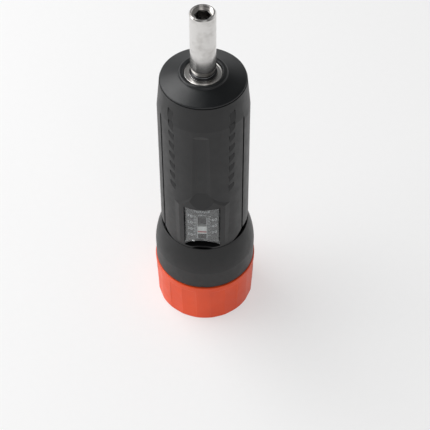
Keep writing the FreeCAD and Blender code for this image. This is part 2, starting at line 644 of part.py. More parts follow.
def build_screw_bearing():
    """Flanged bush in the collar's floor and the washer that takes the spring's thrust."""
    bore = total("dim.journal_radius", "dim.running_gap")
    node("screw_bush", turned("screw_bush_turned", [
        (bore, total(COLLAR_FOOT, "0.2")), ("dim.bush_radius", total(COLLAR_FOOT, "0.2")),
        ("dim.bush_radius", FLOOR_TOP), ("dim.bush_flange_radius", FLOOR_TOP),
        ("dim.bush_flange_radius", BUSH_TOP), (bore, BUSH_TOP)]))
    node("thrust_washer", tube("thrust_washer_turned", bore, "dim.thrust_washer_radius",
                               BUSH_TOP, WASHER_TOP))


def housing_solid():
    """Raised window housing: bevelled sides, gable top and a flat ramp over the window."""
    start = "dim.housing_plane"
    depth = total("dim.housing_radius", "1")
    half = "dim.housing_half_width"
    shoulder = total(COLLAR_TOP, "dim.housing_shoulder")
    gable = padded("housing_front", "XZ_Plane", [
        ("-%s" % half, COLLAR_TOP), (half, COLLAR_TOP), (half, shoulder),
        ("0", "%s + %s * tan(dim.housing_gable)" % (shoulder, half)),
        ("-%s" % half, shoulder)], less(depth, start), start, "-dim.housing_bevel")
    ramp_foot = total(COLLAR_TOP, "dim.ramp_foot")
    ramp_rise = "(dim.housing_radius - %s) / tan(dim.ramp_slope)" % start
    ramp = padded("housing_side", "YZ_Plane", [
        ("-%s" % start, less(COLLAR_TOP, "1")), ("-%s" % start, total(ramp_foot, ramp_rise)),
        ("-dim.housing_radius", ramp_foot), ("-%s" % depth, ramp_foot),
        ("-%s" % depth, less(COLLAR_TOP, "1"))], "40", "-20")
    barrel = rod("housing_barrel", "dim.housing_radius", COLLAR_TOP, HANDLE_TOP)
    return common("housing", gable, ramp, barrel)


def handle_round():
    """Turned barrel with neck and top taper, and the two proud side panels."""
    taper_foot = less(HANDLE_TOP, "dim.handle_taper")
    barrel = turned("handle_barrel", [
        ("0", FLOOR_TOP), ("dim.neck_radius", FLOOR_TOP), ("dim.neck_radius", COLLAR_TOP),
        ("dim.handle_foot_radius", COLLAR_TOP), ("dim.handle_top_radius", taper_foot),
        ("dim.handle_rim_radius", HANDLE_TOP), ("0", HANDLE_TOP)])
    proud = "dim.side_panel_height"
    panel_ring = turned("side_panel_ring", [
        ("dim.neck_radius - 1", COLLAR_TOP), (total("dim.handle_foot_radius", proud), COLLAR_TOP),
        (total("dim.handle_top_radius", proud), less(taper_foot, "2")),
        ("dim.handle_rim_radius", HANDLE_TOP), ("dim.neck_radius - 1", HANDLE_TOP)])
    edge = "dim.handle_foot_radius * cos(dim.side_panel_angle)"
    sides = block("side_panel_slab", ("-30", "-%s" % edge, COLLAR_TOP),
                  ("30", edge, HANDLE_TOP))
    return fuse("handle_round", barrel, common("side_panels", panel_ring, sides))


def side_groove_tools():
    """Four long grooves along the side panels' edges, fading out below the top."""
    tools = []
    for index, (sx, sy) in enumerate(((1, 1), (1, -1), (-1, 1), (-1, -1))):
        angle = math.degrees(math.atan2(
            sy * value_of("cos(dim.side_panel_angle)"), sx * value_of("sin(dim.side_panel_angle)")))
        reach = "(dim.handle_foot_radius - dim.side_groove_depth)"
        lean = ("-atan((dim.handle_foot_radius - dim.handle_top_radius)"
                " / (dim.handle_height - dim.handle_taper))")
        tools.append(spoke("side_groove%d" % index, reach, total(reach, "3"),
                           "dim.side_groove_width", COLLAR_TOP,
                           less(HANDLE_TOP, "dim.side_groove_top"), "%.9f" % angle, lean))
    return tools


def flute_tool(name, back):
    """Shallow trapezoid flute with a sloping upper end."""
    surface = less("dim.handle_foot_radius", "0.35")
    floor = less(surface, "dim.flute_depth")
    grow = "((dim.flute_width - dim.flute_floor) / 2 / dim.flute_depth)"
    outer = total(surface, "2")
    half_floor = "(dim.flute_floor / 2)"
    half_outer = "(%s + 2.75 * %s)" % (half_floor, grow)
    top = less(HANDLE_TOP, "dim.flute_top")
    plan = padded(name + "_section", "XY_Plane", [
        ("-%s" % half_floor, "-%s" % floor), (half_floor, "-%s" % floor),
        (half_outer, "-%s" % total(floor, "2.75")), ("-%s" % half_outer, "-%s" % total(floor, "2.75"))],
        less(HANDLE_TOP, COLLAR_TOP), COLLAR_TOP)
    slope = "(dim.flute_run_out / dim.flute_depth)"
    side = padded(name + "_end", "YZ_Plane", [
        ("-%s" % outer, COLLAR_TOP), ("-16", COLLAR_TOP),
        ("-16", "%s - (%s - 16) * %s" % (top, surface, slope)),
        ("-%s" % outer, "%s + (%s - %s) * %s" % (top, outer, surface, slope))], "60", "-30")
    tool = common(name, plan, side)
    if back:
        tool.Placement = FreeCAD.Placement(FreeCAD.Vector(),
                                           FreeCAD.Rotation(FreeCAD.Vector(0, 0, 1), 180))
    return tool


def wedge(corners, inner, side, length, rise):
    """A prism of radial and upright corners that runs outwards from a notch's inner end."""
    points = [FreeCAD.Vector(out, side * inner, up) for out, up in corners]
    face = Part.Face(Part.makePolygon(points + [points[0]]))
    return face.extrude(FreeCAD.Vector(0, side * length, rise))


def notch_shape(side):
    """One notch's tool: slit under the step with its ramp, and the groove down the inner side."""
    length, rise = value_of("dim.notch_length"), value_of("dim.notch_rise")
    slit, slit_depth = value_of("dim.notch_slit"), value_of("dim.notch_slit_depth")
    depth, run = value_of("dim.notch_depth"), value_of("dim.notch_run")
    groove_depth, groove_run = value_of("dim.notch_groove_depth"), value_of("dim.notch_groove_run")
    ceiling, proud = value_of("dim.notch_slit_ceiling"), value_of("dim.notch_overcut")
    inner, low = -length / 2, -rise / 2
    scoop = wedge([(-slit_depth, low - ceiling), (proud, low),
                   (proud, low - run - proud * (run - slit) / depth),
                   (-depth, low - slit), (-slit_depth, low - slit)], inner, side, length, rise)
    groove = wedge([(-groove_depth, low - ceiling), (proud, low - ceiling),
                    (proud, low - groove_run * (1 + proud / groove_depth))],
                   inner, side, value_of("dim.notch_groove"), 0)
    return scoop.fuse(groove)


def notch_tools():
    """Grip notches in four columns; each is deep at its step and runs out below."""
    first = value_of(less(HANDLE_TOP, "dim.notch_first"))
    pitch = value_of("dim.notch_pitch")
    foot, top = value_of("dim.handle_foot_radius"), value_of("dim.handle_top_radius")
    straight = value_of("dim.handle_height - dim.handle_taper")
    taper_foot = value_of(less(HANDLE_TOP, "dim.handle_taper"))
    rim_slope = (top - value_of("dim.handle_rim_radius")) / value_of("dim.handle_taper")
    tools = []
    for side in (-1, 1):
        shape = notch_shape(side)
        for index in range(int(value_of("dim.notch_count"))):
            level = first - index * pitch
            if level > taper_foot:
                radius = top - (level - taper_foot) * rim_slope
            else:
                radius = top + (taper_foot - level) * (foot - top) / straight
            column = math.degrees(math.asin(value_of("dim.notch_reach") / radius))
            middle = -90 + side * column
            place_at = FreeCAD.Vector(radius * math.cos(math.radians(middle)),
                                      radius * math.sin(math.radians(middle)), level)
            facing = FreeCAD.Rotation(FreeCAD.Vector(0, 0, 1),
                                      middle - side * value_of("dim.notch_lean"))
            for back in (0, 180):
                tool = shape.copy()
                tool.Placement = FreeCAD.Placement(place_at, facing)
                tool.rotate(FreeCAD.Vector(), FreeCAD.Vector(0, 0, 1), back)
                tools.append(tool)
    return feature("notch_tools", Part.makeCompound(tools))


def window_tools():
    """Front opening: ledged pocket for the plates and the way through for the nut's arm."""
    half = "dim.window_half_width"
    inner = less(half, "dim.window_ledge")
    sill = total(COLLAR_TOP, "dim.window_sill")
    top = total(COLLAR_TOP, "dim.window_top")
    pocket_block = block("window_pocket_block", ("-%s" % half, "-30", sill), (half, "-5", top))
    pocket_core = rod("window_pocket_core", "dim.window_ledge_radius", less(sill, "1"),
                      total(top, "1"))
    opening = block("window_opening", ("-%s" % inner, "-30", sill),
                    (inner, "-5", less(top, "dim.window_ledge / 2")))
    return [cut("window_pocket", pocket_block, pocket_core), opening]


def neck_tool():
    """Open ring over the collar's rim at both sides; it closes towards the front and back."""
    full = "dim.neck_open_reach"
    end = total(full, "dim.neck_open_slope")
    high = total(COLLAR_TOP, "dim.neck_open_height")
    side = padded("neck_ring_side", "YZ_Plane", [
        ("-%s" % end, less(COLLAR_TOP, "1")), (end, less(COLLAR_TOP, "1")), (end, COLLAR_TOP),
        (full, high), ("-%s" % full, high), ("-%s" % end, COLLAR_TOP)], "60", "-30")
    core = rod("neck_ring_core", "dim.neck_radius", less(COLLAR_TOP, "2"), total(high, "1"))
    return cut("neck_ring", side, core)


def build_handle():
    """Moulded handle: outer form less bore, key slots, nose socket, window, grip relief."""
    bore = rod("handle_bore", "dim.bore_radius", less(FLOOR_TOP, "1"), WEB_FOOT)
    slots = common("key_slots",
                   block("key_slot_block", ("-30", "-dim.key_width / 2", less(FLOOR_TOP, "1")),
                         ("30", "dim.key_width / 2", less(WEB_FOOT, "4"))),
                   rod("key_slot_round", "dim.key_reach", less(FLOOR_TOP, "1"), WEB_FOOT))
    web_bore = rod("handle_web_bore", "dim.spindle_bush_radius", less(WEB_FOOT, "1"),
                   total(WEB_TOP, "1"))
    nose = rod("handle_nose_socket", "dim.nose_socket_radius", WEB_TOP, total(HANDLE_TOP, "1"))
    holes = [rod("neck_hole%d" % index, total("dim.collar_screw_radius", "dim.screw_hole_gap"),
                 less(FLOOR_TOP, "1"),
                 total(COLLAR_FOOT, "dim.collar_screw_head_depth", "dim.collar_screw_length", "1"),
                 x, y)
             for index, (x, y) in collar_screw_places()]
    hollow = fuse("handle_hollow", bore, slots, web_bore, nose, *holes)
    fluted = cut("handle_fluted", handle_round(), flute_tool("front_flute", False),
                 flute_tool("back_flute", True), *side_groove_tools())
    housed = fuse("handle_housed", fluted, housing_solid())
    node("handle", cut("handle_cut", housed, notch_tools(), neck_tool(), hollow,
                       *window_tools()))


def front_plate(name, inner, outer, half, sill, top):
    """A curved plate in the window, its foot arched."""
    ring = tube(name + "_ring", inner, outer, less(sill, "1"), total(top, "1"))
    window = block(name + "_block", ("-%s" % half, "-30", sill), (half, "-5", top))
    arch = doc.addObject("Part::Cylinder", name + "_arch")
    bind(arch, Radius="dim.lens_arch_radius", Height="30")
    arch.Placement.Rotation = FreeCAD.Rotation(FreeCAD.Vector(1, 0, 0), 90)
    place(arch, level=total(COLLAR_TOP, "dim.lens_arch_height - dim.lens_arch_radius"))
    return cut(name + "_arched", common(name + "_curved", ring, window), arch)


def build_window():
    """Scale plate with its slot, and the lens in front of it."""
    half = "(dim.window_half_width - dim.plate_gap)"
    sill = total(COLLAR_TOP, "dim.window_sill", "dim.plate_gap")
    top = total(COLLAR_TOP, "dim.window_top - dim.plate_gap")
    plate = front_plate("scale_plate", PLATE_INNER, PLATE_OUTER, half, sill, top)
    slot = block("scale_slot",
                 ("-dim.slot_half_width", "-30", total(COLLAR_TOP, "dim.slot_foot")),
                 ("dim.slot_half_width", "-5", total(COLLAR_TOP, "dim.slot_top")))
    node("scale_plate", cut("scale_plate_cut", plate, slot))
    node("window_lens", front_plate("lens", LENS_INNER, LENS_OUTER, half, sill, top))


def build_nut():
    """Keyed nut with the arm that reaches the window, and the indicator on the arm."""
    bore = total("dim.thread_radius", "dim.thread_clearance")
    ring = tube("nut_ring", bore, NUT_RADIUS, NUT_FOOT, NUT_TOP)
    half_key = "(dim.key_width / 2 - dim.key_gap)"
    keys = common("nut_keys",
                  block("nut_key_block", ("-30", "-%s" % half_key, NUT_FOOT),
                        ("30", half_key, total(NUT_FOOT, "dim.key_height"))),
                  tube("nut_key_ring", "dim.bore_radius - 2", KEY_RADIUS, NUT_FOOT, NUT_TOP))
    face = less(INDICATOR_FACE, "dim.indicator_depth")
    arm = block("nut_arm",
                ("-dim.nut_arm_half_width", "-%s" % face,
                 less(LINE_LEVEL, "dim.indicator_below", "dim.nut_arm_margin")),
                ("dim.nut_arm_half_width", "-(dim.bore_radius - 3)",
                 total(LINE_LEVEL, "dim.indicator_above", "dim.nut_arm_margin")))
    node("adjusting_nut", fuse("nut_fused", ring, keys, arm))
    low, high = less(LINE_LEVEL, "dim.indicator_below"), total(LINE_LEVEL, "dim.indicator_above")
    half = "dim.indicator_half_width"
    whole = block("indicator_whole", ("-%s" % half, "-%s" % INDICATOR_FACE, low),
                  (half, "-%s" % face, high))
    line_low = less(LINE_LEVEL, "dim.line_height / 2")
    line_high = total(LINE_LEVEL, "dim.line_height / 2")
    groove_floor = less(INDICATOR_FACE, "dim.line_depth")
    groove = block("indicator_groove", ("-%s - 1" % half, "-%s - 1" % INDICATOR_FACE, line_low),
                   ("%s + 1" % half, "-%s" % groove_floor, line_high))
    node("indicator_block", cut("indicator_cut", whole, groove))
    node("indicator_line", block("indicator_stripe",
                                 ("-%s" % half, "-%s" % total(INDICATOR_FACE, "dim.line_proud"),
                                  line_low),
                                 (half, "-%s" % groove_floor, line_high)))


def build_spring():
    """Main spring with ground ends, between two washers."""
    node("lower_spring_seat", tube("lower_seat", "dim.seat_bore", "dim.seat_radius", NUT_TOP,
                                   LOWER_SEAT_TOP))
    node("upper_spring_seat", tube("upper_seat", "dim.seat_bore", "dim.seat_radius",
                                   UPPER_SEAT_FOOT, CAM_FOOT))
    foot, top = value_of(LOWER_SEAT_TOP), value_of(UPPER_SEAT_FOOT)
    coil, wire = value_of("dim.coil_radius"), value_of("dim.wire_radius")
    pitch = (top - foot) / value_of("dim.coil_turns")
    helix = Part.makeHelix(pitch, top - foot, coil)
    helix.translate(FreeCAD.Vector(0, 0, foot))
    section = Part.Wire(Part.makeCircle(wire, FreeCAD.Vector(coil, 0, foot),
                                        FreeCAD.Vector(0, coil, pitch / (2 * math.pi))))
    wound = Part.Wire(helix.Edges).makePipeShell([section], True, True)
    room = Part.makeCylinder(coil + wire + 1, top - foot, FreeCAD.Vector(0, 0, foot))
    node("main_spring", feature("main_spring_wound", wound.common(room)))


def tooth_ring(base, hanging, land, turn):
    """Teeth of a face cam on a level: each a helical ramp and a flat land.

    Standing teeth climb clockwise seen from above, from the angle given; hanging ones deepen
    the other way round.
    """
    inner, outer = value_of("dim.tooth_inner"), value_of("dim.tooth_outer")
    ramp, height = value_of("dim.tooth_ramp"), value_of("dim.tooth_height")
    count = int(value_of("dim.tooth_count"))
    root = 1.2 * height
    rough_inner, rough_outer = inner - 1, outer + 1
    helix = Part.makeHelix(height * 360 / ramp, height, rough_outer, 0, True)
    face = Part.makePolygon([FreeCAD.Vector(rough_inner, 0, -root),
                             FreeCAD.Vector(rough_outer, 0, -root),
                             FreeCAD.Vector(rough_outer, 0, 0), FreeCAD.Vector(rough_inner, 0, 0),
                             FreeCAD.Vector(rough_inner, 0, -root)])
    climb = Part.Wire(helix.Edges).makePipeShell([face], True, True)
    flat = Part.makeCylinder(rough_outer, root, FreeCAD.Vector(0, 0, height - root),
                             FreeCAD.Vector(0, 0, 1), land)
    flat.rotate(FreeCAD.Vector(), FreeCAD.Vector(0, 0, 1), -ramp - land)
    ring = Part.makeCylinder(outer, 4 * root, FreeCAD.Vector(0, 0, -2 * root))
    ring = ring.cut(Part.makeCylinder(inner, 4 * root, FreeCAD.Vector(0, 0, -2 * root)))
    tooth = climb.fuse(flat).common(ring)
    if hanging:
        tooth.rotate(FreeCAD.Vector(), FreeCAD.Vector(1, 0, 0), 180)
    tooth.rotate(FreeCAD.Vector(), FreeCAD.Vector(0, 0, 1), turn)
    tooth.translate(FreeCAD.Vector(0, 0, base))
    teeth = []
    for index in range(count):
        copy = tooth.copy()
        copy.rotate(FreeCAD.Vector(), FreeCAD.Vector(0, 0, 1), index * 360 / count)
        teeth.append(copy)
    return teeth


def build_clutch():
    """Sprung face cam, keyed in the handle and bored for the spindle's pilot."""
    bore = total("dim.spindle_pilot_radius", "dim.running_gap")
    ring = tube("cam_ring", bore, "dim.cam_radius", CAM_FOOT, CAM_BASE)
    half_key = "(dim.key_width / 2 - dim.key_gap)"
    keys = common("cam_keys",
                  block("cam_key_block", ("-30", "-%s" % half_key, CAM_FOOT),
                        ("30", half_key, total(CAM_FOOT, "dim.cam_key_height"))),
                  tube("cam_key_ring", "dim.bore_radius - 2", KEY_RADIUS, CAM_FOOT, CAM_BASE))
    teeth = feature("cam_teeth", Part.makeCompound(
        tooth_ring(value_of(CAM_BASE), False, value_of("dim.tooth_land"), 0)))
    node("clutch_cam", fuse("cam_fused", ring, keys, *split(teeth)))


def split(item):
    """One feature for each solid of a compound."""
    solids = item.Shape.Solids
    name = item.Name
    doc.removeObject(name)
    return [feature("%s%d" % (name, index), solid) for index, solid in enumerate(solids)]


def build_spindle():
    """Output spindle: pilot, driven face cam, journal with circlip groove, hexagon socket."""
    pilot_foot = less(SPINDLE_TEETH_FOOT, "dim.spindle_pilot_length")
    groove = "dim.spindle_radius - dim.circlip_groove"
    clip_foot = total(BEARING_TOP, "dim.seat_gap")
    clip_top = total(clip_foot, "dim.circlip_thickness", "dim.seat_gap")
    shaft = turned("spindle_shaft", [
        ("0", pilot_foot), ("dim.spindle_pilot_radius - 0.6", pilot_foot),
        ("dim.spindle_pilot_radius", total(pilot_foot, "0.6")),
        ("dim.spindle_pilot_radius", SPINDLE_FLANGE_FOOT), ("dim.cam_radius", SPINDLE_FLANGE_FOOT),
        ("dim.cam_radius", SPINDLE_FLANGE_TOP), ("dim.spindle_radius", SPINDLE_FLANGE_TOP),
        ("dim.spindle_radius", clip_foot), (groove, clip_foot), (groove, clip_top),
        ("dim.spindle_radius", clip_top), ("dim.spindle_radius", less(SPINDLE_TOP, "0.2")),
        ("dim.spindle_radius - 0.2", SPINDLE_TOP), ("0", SPINDLE_TOP)])
    hanging_land = value_of("360 / dim.tooth_count - dim.tooth_ramp - dim.tooth_land"
                            " - dim.tooth_clearance")
    teeth = feature("spindle_teeth", Part.makeCompound(
        tooth_ring(value_of(SPINDLE_FLANGE_FOOT), True, hanging_land,
                   -value_of("dim.tooth_ramp"))))
    socket = hexagon("spindle_socket", total("dim.bit_flats", "dim.hex_clearance"),
                     less(SPINDLE_TOP, "dim.shank_depth"), total(SPINDLE_TOP, "1"))
    node("output_spindle", cut("spindle_cut", fuse("spindle_fused", shaft, *split(teeth)), socket))
    ring = tube("circlip_ring", total(groove, "dim.seat_gap"), total("dim.spindle_radius", "dim.circlip_reach"),
                total(clip_foot, "0"), total(clip_foot, "dim.circlip_thickness"))
    opening = block("circlip_gap", ("-dim.circlip_opening / 2", "0", BEARING_TOP),
                    ("dim.circlip_opening / 2", "20", SPINDLE_TOP))
    node("spindle_circlip", cut("circlip_cut", ring, opening))
    bore = total("dim.spindle_radius", "dim.running_gap")
    node("spindle_bush", turned("spindle_bush_turned", [
        (bore, less(WEB_FOOT, "dim.spindle_bush_flange")),
        ("dim.spindle_bush_flange_radius", less(WEB_FOOT, "dim.spindle_bush_flange")),
        ("dim.spindle_bush_flange_radius", WEB_FOOT), ("dim.spindle_bush_radius", WEB_FOOT),
        ("dim.spindle_bush_radius", WEB_TOP), (bore, WEB_TOP)]))
    inner = total("dim.spindle_radius", "dim.bearing_fit")
    node("bearing_spacer", tube("spacer_turned", inner, total(inner, "dim.spacer_wall"),
                                total(WEB_TOP, "dim.seat_gap"), BEARING_FOOT))


def build_nose():
    """Threaded nose cap: spigot in the handle, coned face and rounded boss for the bearing."""
    spigot = less("dim.nose_socket_radius", "dim.sliding_gap")
    spigot_foot = total(WEB_TOP, "dim.nose_spigot_gap")
    seat = total("dim.bearing_radius", "dim.bearing_fit")
    under = less(NOSE_FACE, "dim.nose_plate")
    lip_foot = less(BEARING_FOOT, "dim.bearing_seat")
    lip = less(OUTER_RACE_RADIUS, "dim.ball_gap")
    rounding_foot = less(BOSS_TOP, "dim.boss_round")
    node("nose_cap", turned("nose_cap_turned", [
        (lip, lip_foot), (total(seat, "1.6"), lip_foot), (total(seat, "1.6"), under),
        (less(spigot, "dim.nose_spigot_wall"), under),
        (less(spigot, "dim.nose_spigot_wall"), spigot_foot), (spigot, spigot_foot),
        (spigot, NOSE_FOOT), ("dim.nose_rim_radius", NOSE_FOOT),
        ("dim.nose_rim_radius", less(NOSE_FACE, "dim.nose_rim_break")),
        (less("dim.nose_rim_radius", "dim.nose_rim_break"), NOSE_FACE),
        (total("dim.boss_radius", "dim.boss_root"), less(rounding_foot, "dim.boss_root")),
        ("dim.boss_radius", rounding_foot, "-dim.boss_root"),
        (less("dim.boss_radius", "dim.boss_round"), BOSS_TOP, "dim.boss_round"),
        (total(seat, "0.4"), BOSS_TOP), (seat, less(BOSS_TOP, "0.4")), (seat, BEARING_FOOT),
        (lip, BEARING_FOOT)]))


def build_bearing():
    """Ball bearing round the spindle: grooved races, balls, cage and shield."""
    inner = total("dim.spindle_radius", "dim.bearing_fit")
    groove = total("dim.ball_radius", "dim.ball_gap")
    reach = "sqrt(%s ^ 2 - (%s - %s) ^ 2)" % (groove, BALL_CIRCLE, INNER_RACE_RADIUS)
    groove_low, groove_high = less(BEARING_MIDDLE, reach), total(BEARING_MIDDLE, reach)
    step = total(OUTER_RACE_RADIUS, "dim.shield_step")
    shield_top = less(BEARING_TOP, "dim.shield_recess")
    shield_foot = less(shield_top, "dim.shield_thickness")
    node("bearing_inner_race", turned("inner_race_turned", [
        (inner, BEARING_FOOT), (INNER_RACE_RADIUS, BEARING_FOOT), (INNER_RACE_RADIUS, groove_low),
        (INNER_RACE_RADIUS, groove_high, "-" + groove), (INNER_RACE_RADIUS, BEARING_TOP),
        (total(inner, "0.2"), BEARING_TOP), (inner, less(BEARING_TOP, "0.2"))]))
    node("bearing_outer_race", turned("outer_race_turned", [
        (OUTER_RACE_RADIUS, BEARING_FOOT), ("dim.bearing_radius", BEARING_FOOT),
        ("dim.bearing_radius", less(BEARING_TOP, "0.3")),
        (less("dim.bearing_radius", "0.3"), BEARING_TOP), (step, BEARING_TOP),
        (step, shield_foot), (OUTER_RACE_RADIUS, shield_foot), (OUTER_RACE_RADIUS, groove_high),
        (OUTER_RACE_RADIUS, groove_low, "-" + groove)]))
    node("bearing_shield", tube("shield_turned", total(INNER_RACE_RADIUS, "dim.shield_gap"), step,
                                shield_foot, shield_top))
    cage_ring = tube("cage_ring", less(BALL_CIRCLE, "dim.cage_half_wall"),
                     total(BALL_CIRCLE, "dim.cage_half_wall"),
                     less(BEARING_MIDDLE, "dim.cage_half_height"),
                     total(BEARING_MIDDLE, "dim.cage_half_height"))
    balls = []
    pockets = []
    for index in range(int(value_of("dim.ball_count"))):
        angle = "(%d * 360 / dim.ball_count)" % index
        ball_body = doc.addObject("Part::Sphere", "ball%d" % index)
        bind(ball_body, Radius="dim.ball_radius")
        balls.append(place(ball_body, "%s * cos(%s)" % (BALL_CIRCLE, angle),
                           "%s * sin(%s)" % (BALL_CIRCLE, angle), BEARING_MIDDLE))
        pocket = doc.addObject("Part::Cylinder", "pocket%d" % index)
        bind(pocket, Radius=total("dim.ball_radius", "dim.cage_pocket_gap"),
             Height="dim.cage_half_wall * 4")
        pockets.append(turned_about(pocket, angle,
                                    less(BALL_CIRCLE, "dim.cage_half_wall * 2"), BEARING_MIDDLE,
                                    lean="90"))
    node("bearing_balls", group("ball_set", balls))
    node("bearing_cage", cut("cage_cut", cage_ring, group("cage_pockets", pockets)))


def build_bit_holder():
    """Bit holder: hexagon shank, tapered foot, tube with mouth, hexagon socket and magnet."""
    magnet_foot = less(SOCKET_FLOOR, "dim.magnet_length")
    ring_top = less(HOLDER_TOP, "dim.ring_groove_below")
    ring_foot = less(ring_top, "dim.ring_wire")
    shell = turned("holder_turned", [
        ("0", SPINDLE_TOP), ("dim.holder_foot_radius", SPINDLE_TOP),
        ("dim.holder_radius", total(SPINDLE_TOP, "dim.holder_foot_taper")),
        ("dim.holder_radius", less(HOLDER_TOP, "dim.holder_chamfer")),
        (less("dim.holder_radius", "dim.holder_chamfer"), HOLDER_TOP),
        (total("dim.mouth_radius", "0.3"), HOLDER_TOP),
        ("dim.mouth_radius", less(HOLDER_TOP, "0.3")),
        ("dim.mouth_radius", less(HOLDER_TOP, "dim.mouth_depth")),
        ("0", less(HOLDER_TOP, "dim.mouth_depth"))])
    shank = hexagon("holder_shank", "dim.bit_flats",
                    less(SPINDLE_TOP, "dim.shank_depth", "-dim.shank_end_gap"),
                    total(SPINDLE_TOP, "0.5"))
    socket = hexagon("bit_socket", total("dim.bit_flats", "dim.hex_clearance"), SOCKET_FLOOR,
                     HOLDER_TOP)
    well = rod("magnet_well", total("dim.magnet_radius", "dim.magnet_gap"), magnet_foot,
               HOLDER_TOP)
    groove = tube("ring_groove", "1", "dim.ring_groove_radius", less(ring_foot, "0.05"),
                  total(ring_top, "0.05"))
    node("bit_holder", cut("holder_cut", fuse("holder_fused", shell, shank), socket, well, groove))
    node("holder_magnet", rod("magnet_bar", "dim.magnet_radius", magnet_foot, SOCKET_FLOOR))
    ring = tube("retaining_ring", "dim.ring_inner", "dim.ring_outer", ring_foot, ring_top)
    opening = block("retaining_ring_gap", ("-dim.ring_opening / 2", "0", less(ring_foot, "1")),
                    ("dim.ring_opening / 2", "20", total(ring_top, "1")))
    node("bit_retaining_ring", cut("retaining_ring_cut", ring, opening))


def check_document():
    """Stop on any failed object and on any sub-part that isn't whole."""
    doc.recompute()
    for item in doc.Objects:
        if "Invalid" in item.State or "Error" in item.State:
            raise RuntimeError("%s did not build: %s" % (item.Name, item.State))
    for item in NODES:
        shape = item.Shape
        if shape.isNull() or not shape.isValid() or not shape.Solids:
            raise RuntimeError("%s has no valid solid" % item.Label)


def write_parts():
    """Write each sub-part to its own STEP file."""
    os.makedirs("parts", exist_ok=True)
    for item in NODES:
        item.Shape.exportStep(os.path.join("parts", item.Label + ".step"))
        box = item.Shape.BoundBox
        print("%-20s %d solids %10.2f mm3  z %.2f to %.2f" % (
            item.Label, len(item.Shape.Solids), item.Shape.Volume, box.ZMin, box.ZMax))


build_knob()
build_knob_fittings()
build_adjusting_screw()
build_collar()
build_collar_screws()
build_screw_bearing()
build_handle()
build_window()
build_nut()
build_spring()
build_clutch()
build_spindle()
build_nose()
build_bearing()
build_bit_holder()
check_document()
write_parts()
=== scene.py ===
"""Adjustable torque screwdriver: finishes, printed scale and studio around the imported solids."""

import logging
import math
from dataclasses import dataclass, field
from enum import Enum
from typing import Any, Optional, Sequence

import bpy
from mathutils import Matrix, Vector


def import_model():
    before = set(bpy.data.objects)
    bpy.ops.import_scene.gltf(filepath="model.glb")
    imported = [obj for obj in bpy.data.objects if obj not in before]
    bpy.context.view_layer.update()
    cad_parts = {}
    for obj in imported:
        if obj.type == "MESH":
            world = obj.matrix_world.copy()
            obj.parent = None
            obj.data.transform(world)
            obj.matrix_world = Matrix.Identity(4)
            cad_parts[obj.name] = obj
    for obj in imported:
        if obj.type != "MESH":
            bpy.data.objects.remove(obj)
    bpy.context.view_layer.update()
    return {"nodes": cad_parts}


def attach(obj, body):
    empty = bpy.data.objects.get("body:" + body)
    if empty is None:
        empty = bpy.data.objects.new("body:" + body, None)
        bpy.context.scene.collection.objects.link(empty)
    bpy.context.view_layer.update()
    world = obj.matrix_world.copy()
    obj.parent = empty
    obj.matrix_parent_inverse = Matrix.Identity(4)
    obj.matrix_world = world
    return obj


LOG = logging.getLogger("torque_screwdriver")
MM = 0.001
BEVEL_SAMPLES = 6
WHITE = (1.0, 1.0, 1.0, 1.0)

Colour = tuple[float, float, float, float]
Inputs = dict[Any, Any]
Socket = bpy.types.NodeSocket
Tree = bpy.types.ShaderNodeTree


# ---------------------------------------------------------------- small helpers


def linear(code: str) -> Colour:
    """Turns an sRGB hex value into the linear colour that nodes take, by the sRGB curve.

    Args:
        code: six hex digits after a hash.

    Returns:
        Red, green and blue, and an alpha of one.
    """
    digits = code.lstrip("#")
    parts = [int(digits[i:i + 2], 16) / 255 for i in (0, 2, 4)]
    red, green, blue = (
        p / 12.92 if p <= 0.04045 else ((p + 0.055) / 1.055) ** 2.4 for p in parts
    )
    return red, green, blue, 1.0


def add_node(tree: Tree, kind: str, inputs: Optional[Inputs] = None, **settings: Any) -> Any:
    """Adds one node, sets it up, and fills or links its inputs.

    Args:
        tree: node tree that gets the node.
        kind: the node's type name.
        inputs: values or output sockets by input name or number.
        **settings: properties of the node itself.

    Returns:
        The new node.
    """
    node = tree.nodes.new(kind)
    for name, value in settings.items():
        setattr(node, name, value)
    for key, value in (inputs or {}).items():
        if isinstance(value, Socket):
            tree.links.new(value, node.inputs[key])
        else:
            node.inputs[key].default_value = value
    return node


def math_node(tree: Tree, operation: str, *values: Any, clamp: bool = False) -> Socket:
    """Result of one Math node.

    Args:
        tree: node tree.
        operation: what the node does.
        *values: numbers or sockets, in order.
        clamp: keeps the result from 0 to 1.

    Returns:
        The node's output.
    """
    node = add_node(tree, "ShaderNodeMath", dict(enumerate(values)), operation=operation,
                    use_clamp=clamp)
    return node.outputs[0]


def per_mm(size_mm: float) -> float:
    """Noise scale whose features are about size_mm across, on coordinates in metres."""
    return 1 / (size_mm * MM)


def mix_colours(tree: Tree, share: Any, first: Any, second: Any) -> Socket:
    """Colour mixed from two by share.

    Args:
        tree: node tree.
        share: 0 gives first and 1 gives second.
        first: colour or socket.
        second: colour or socket.

    Returns:
        The mixed colour's socket.
    """
    node = add_node(tree, "ShaderNodeMix", {0: share, 6: first, 7: second}, data_type="RGBA")
    return node.outputs[2]


def spread(tree: Tree, source: Socket, low: float, high: float, start: float = 0.3,
           end: float = 0.7) -> Socket:
    """Maps a noise value from start..end to low..high.

    Args:
        tree: node tree.
        source: value to map.
        low: result at start.
        high: result at end.
        start: noise value that gives low.
        end: noise value that gives high.

    Returns:
        The mapped value's socket.
    """
    node = add_node(tree, "ShaderNodeMapRange", {
        "Value": source, "From Min": start, "From Max": end, "To Min": low, "To Max": high})
    return node.outputs["Result"]


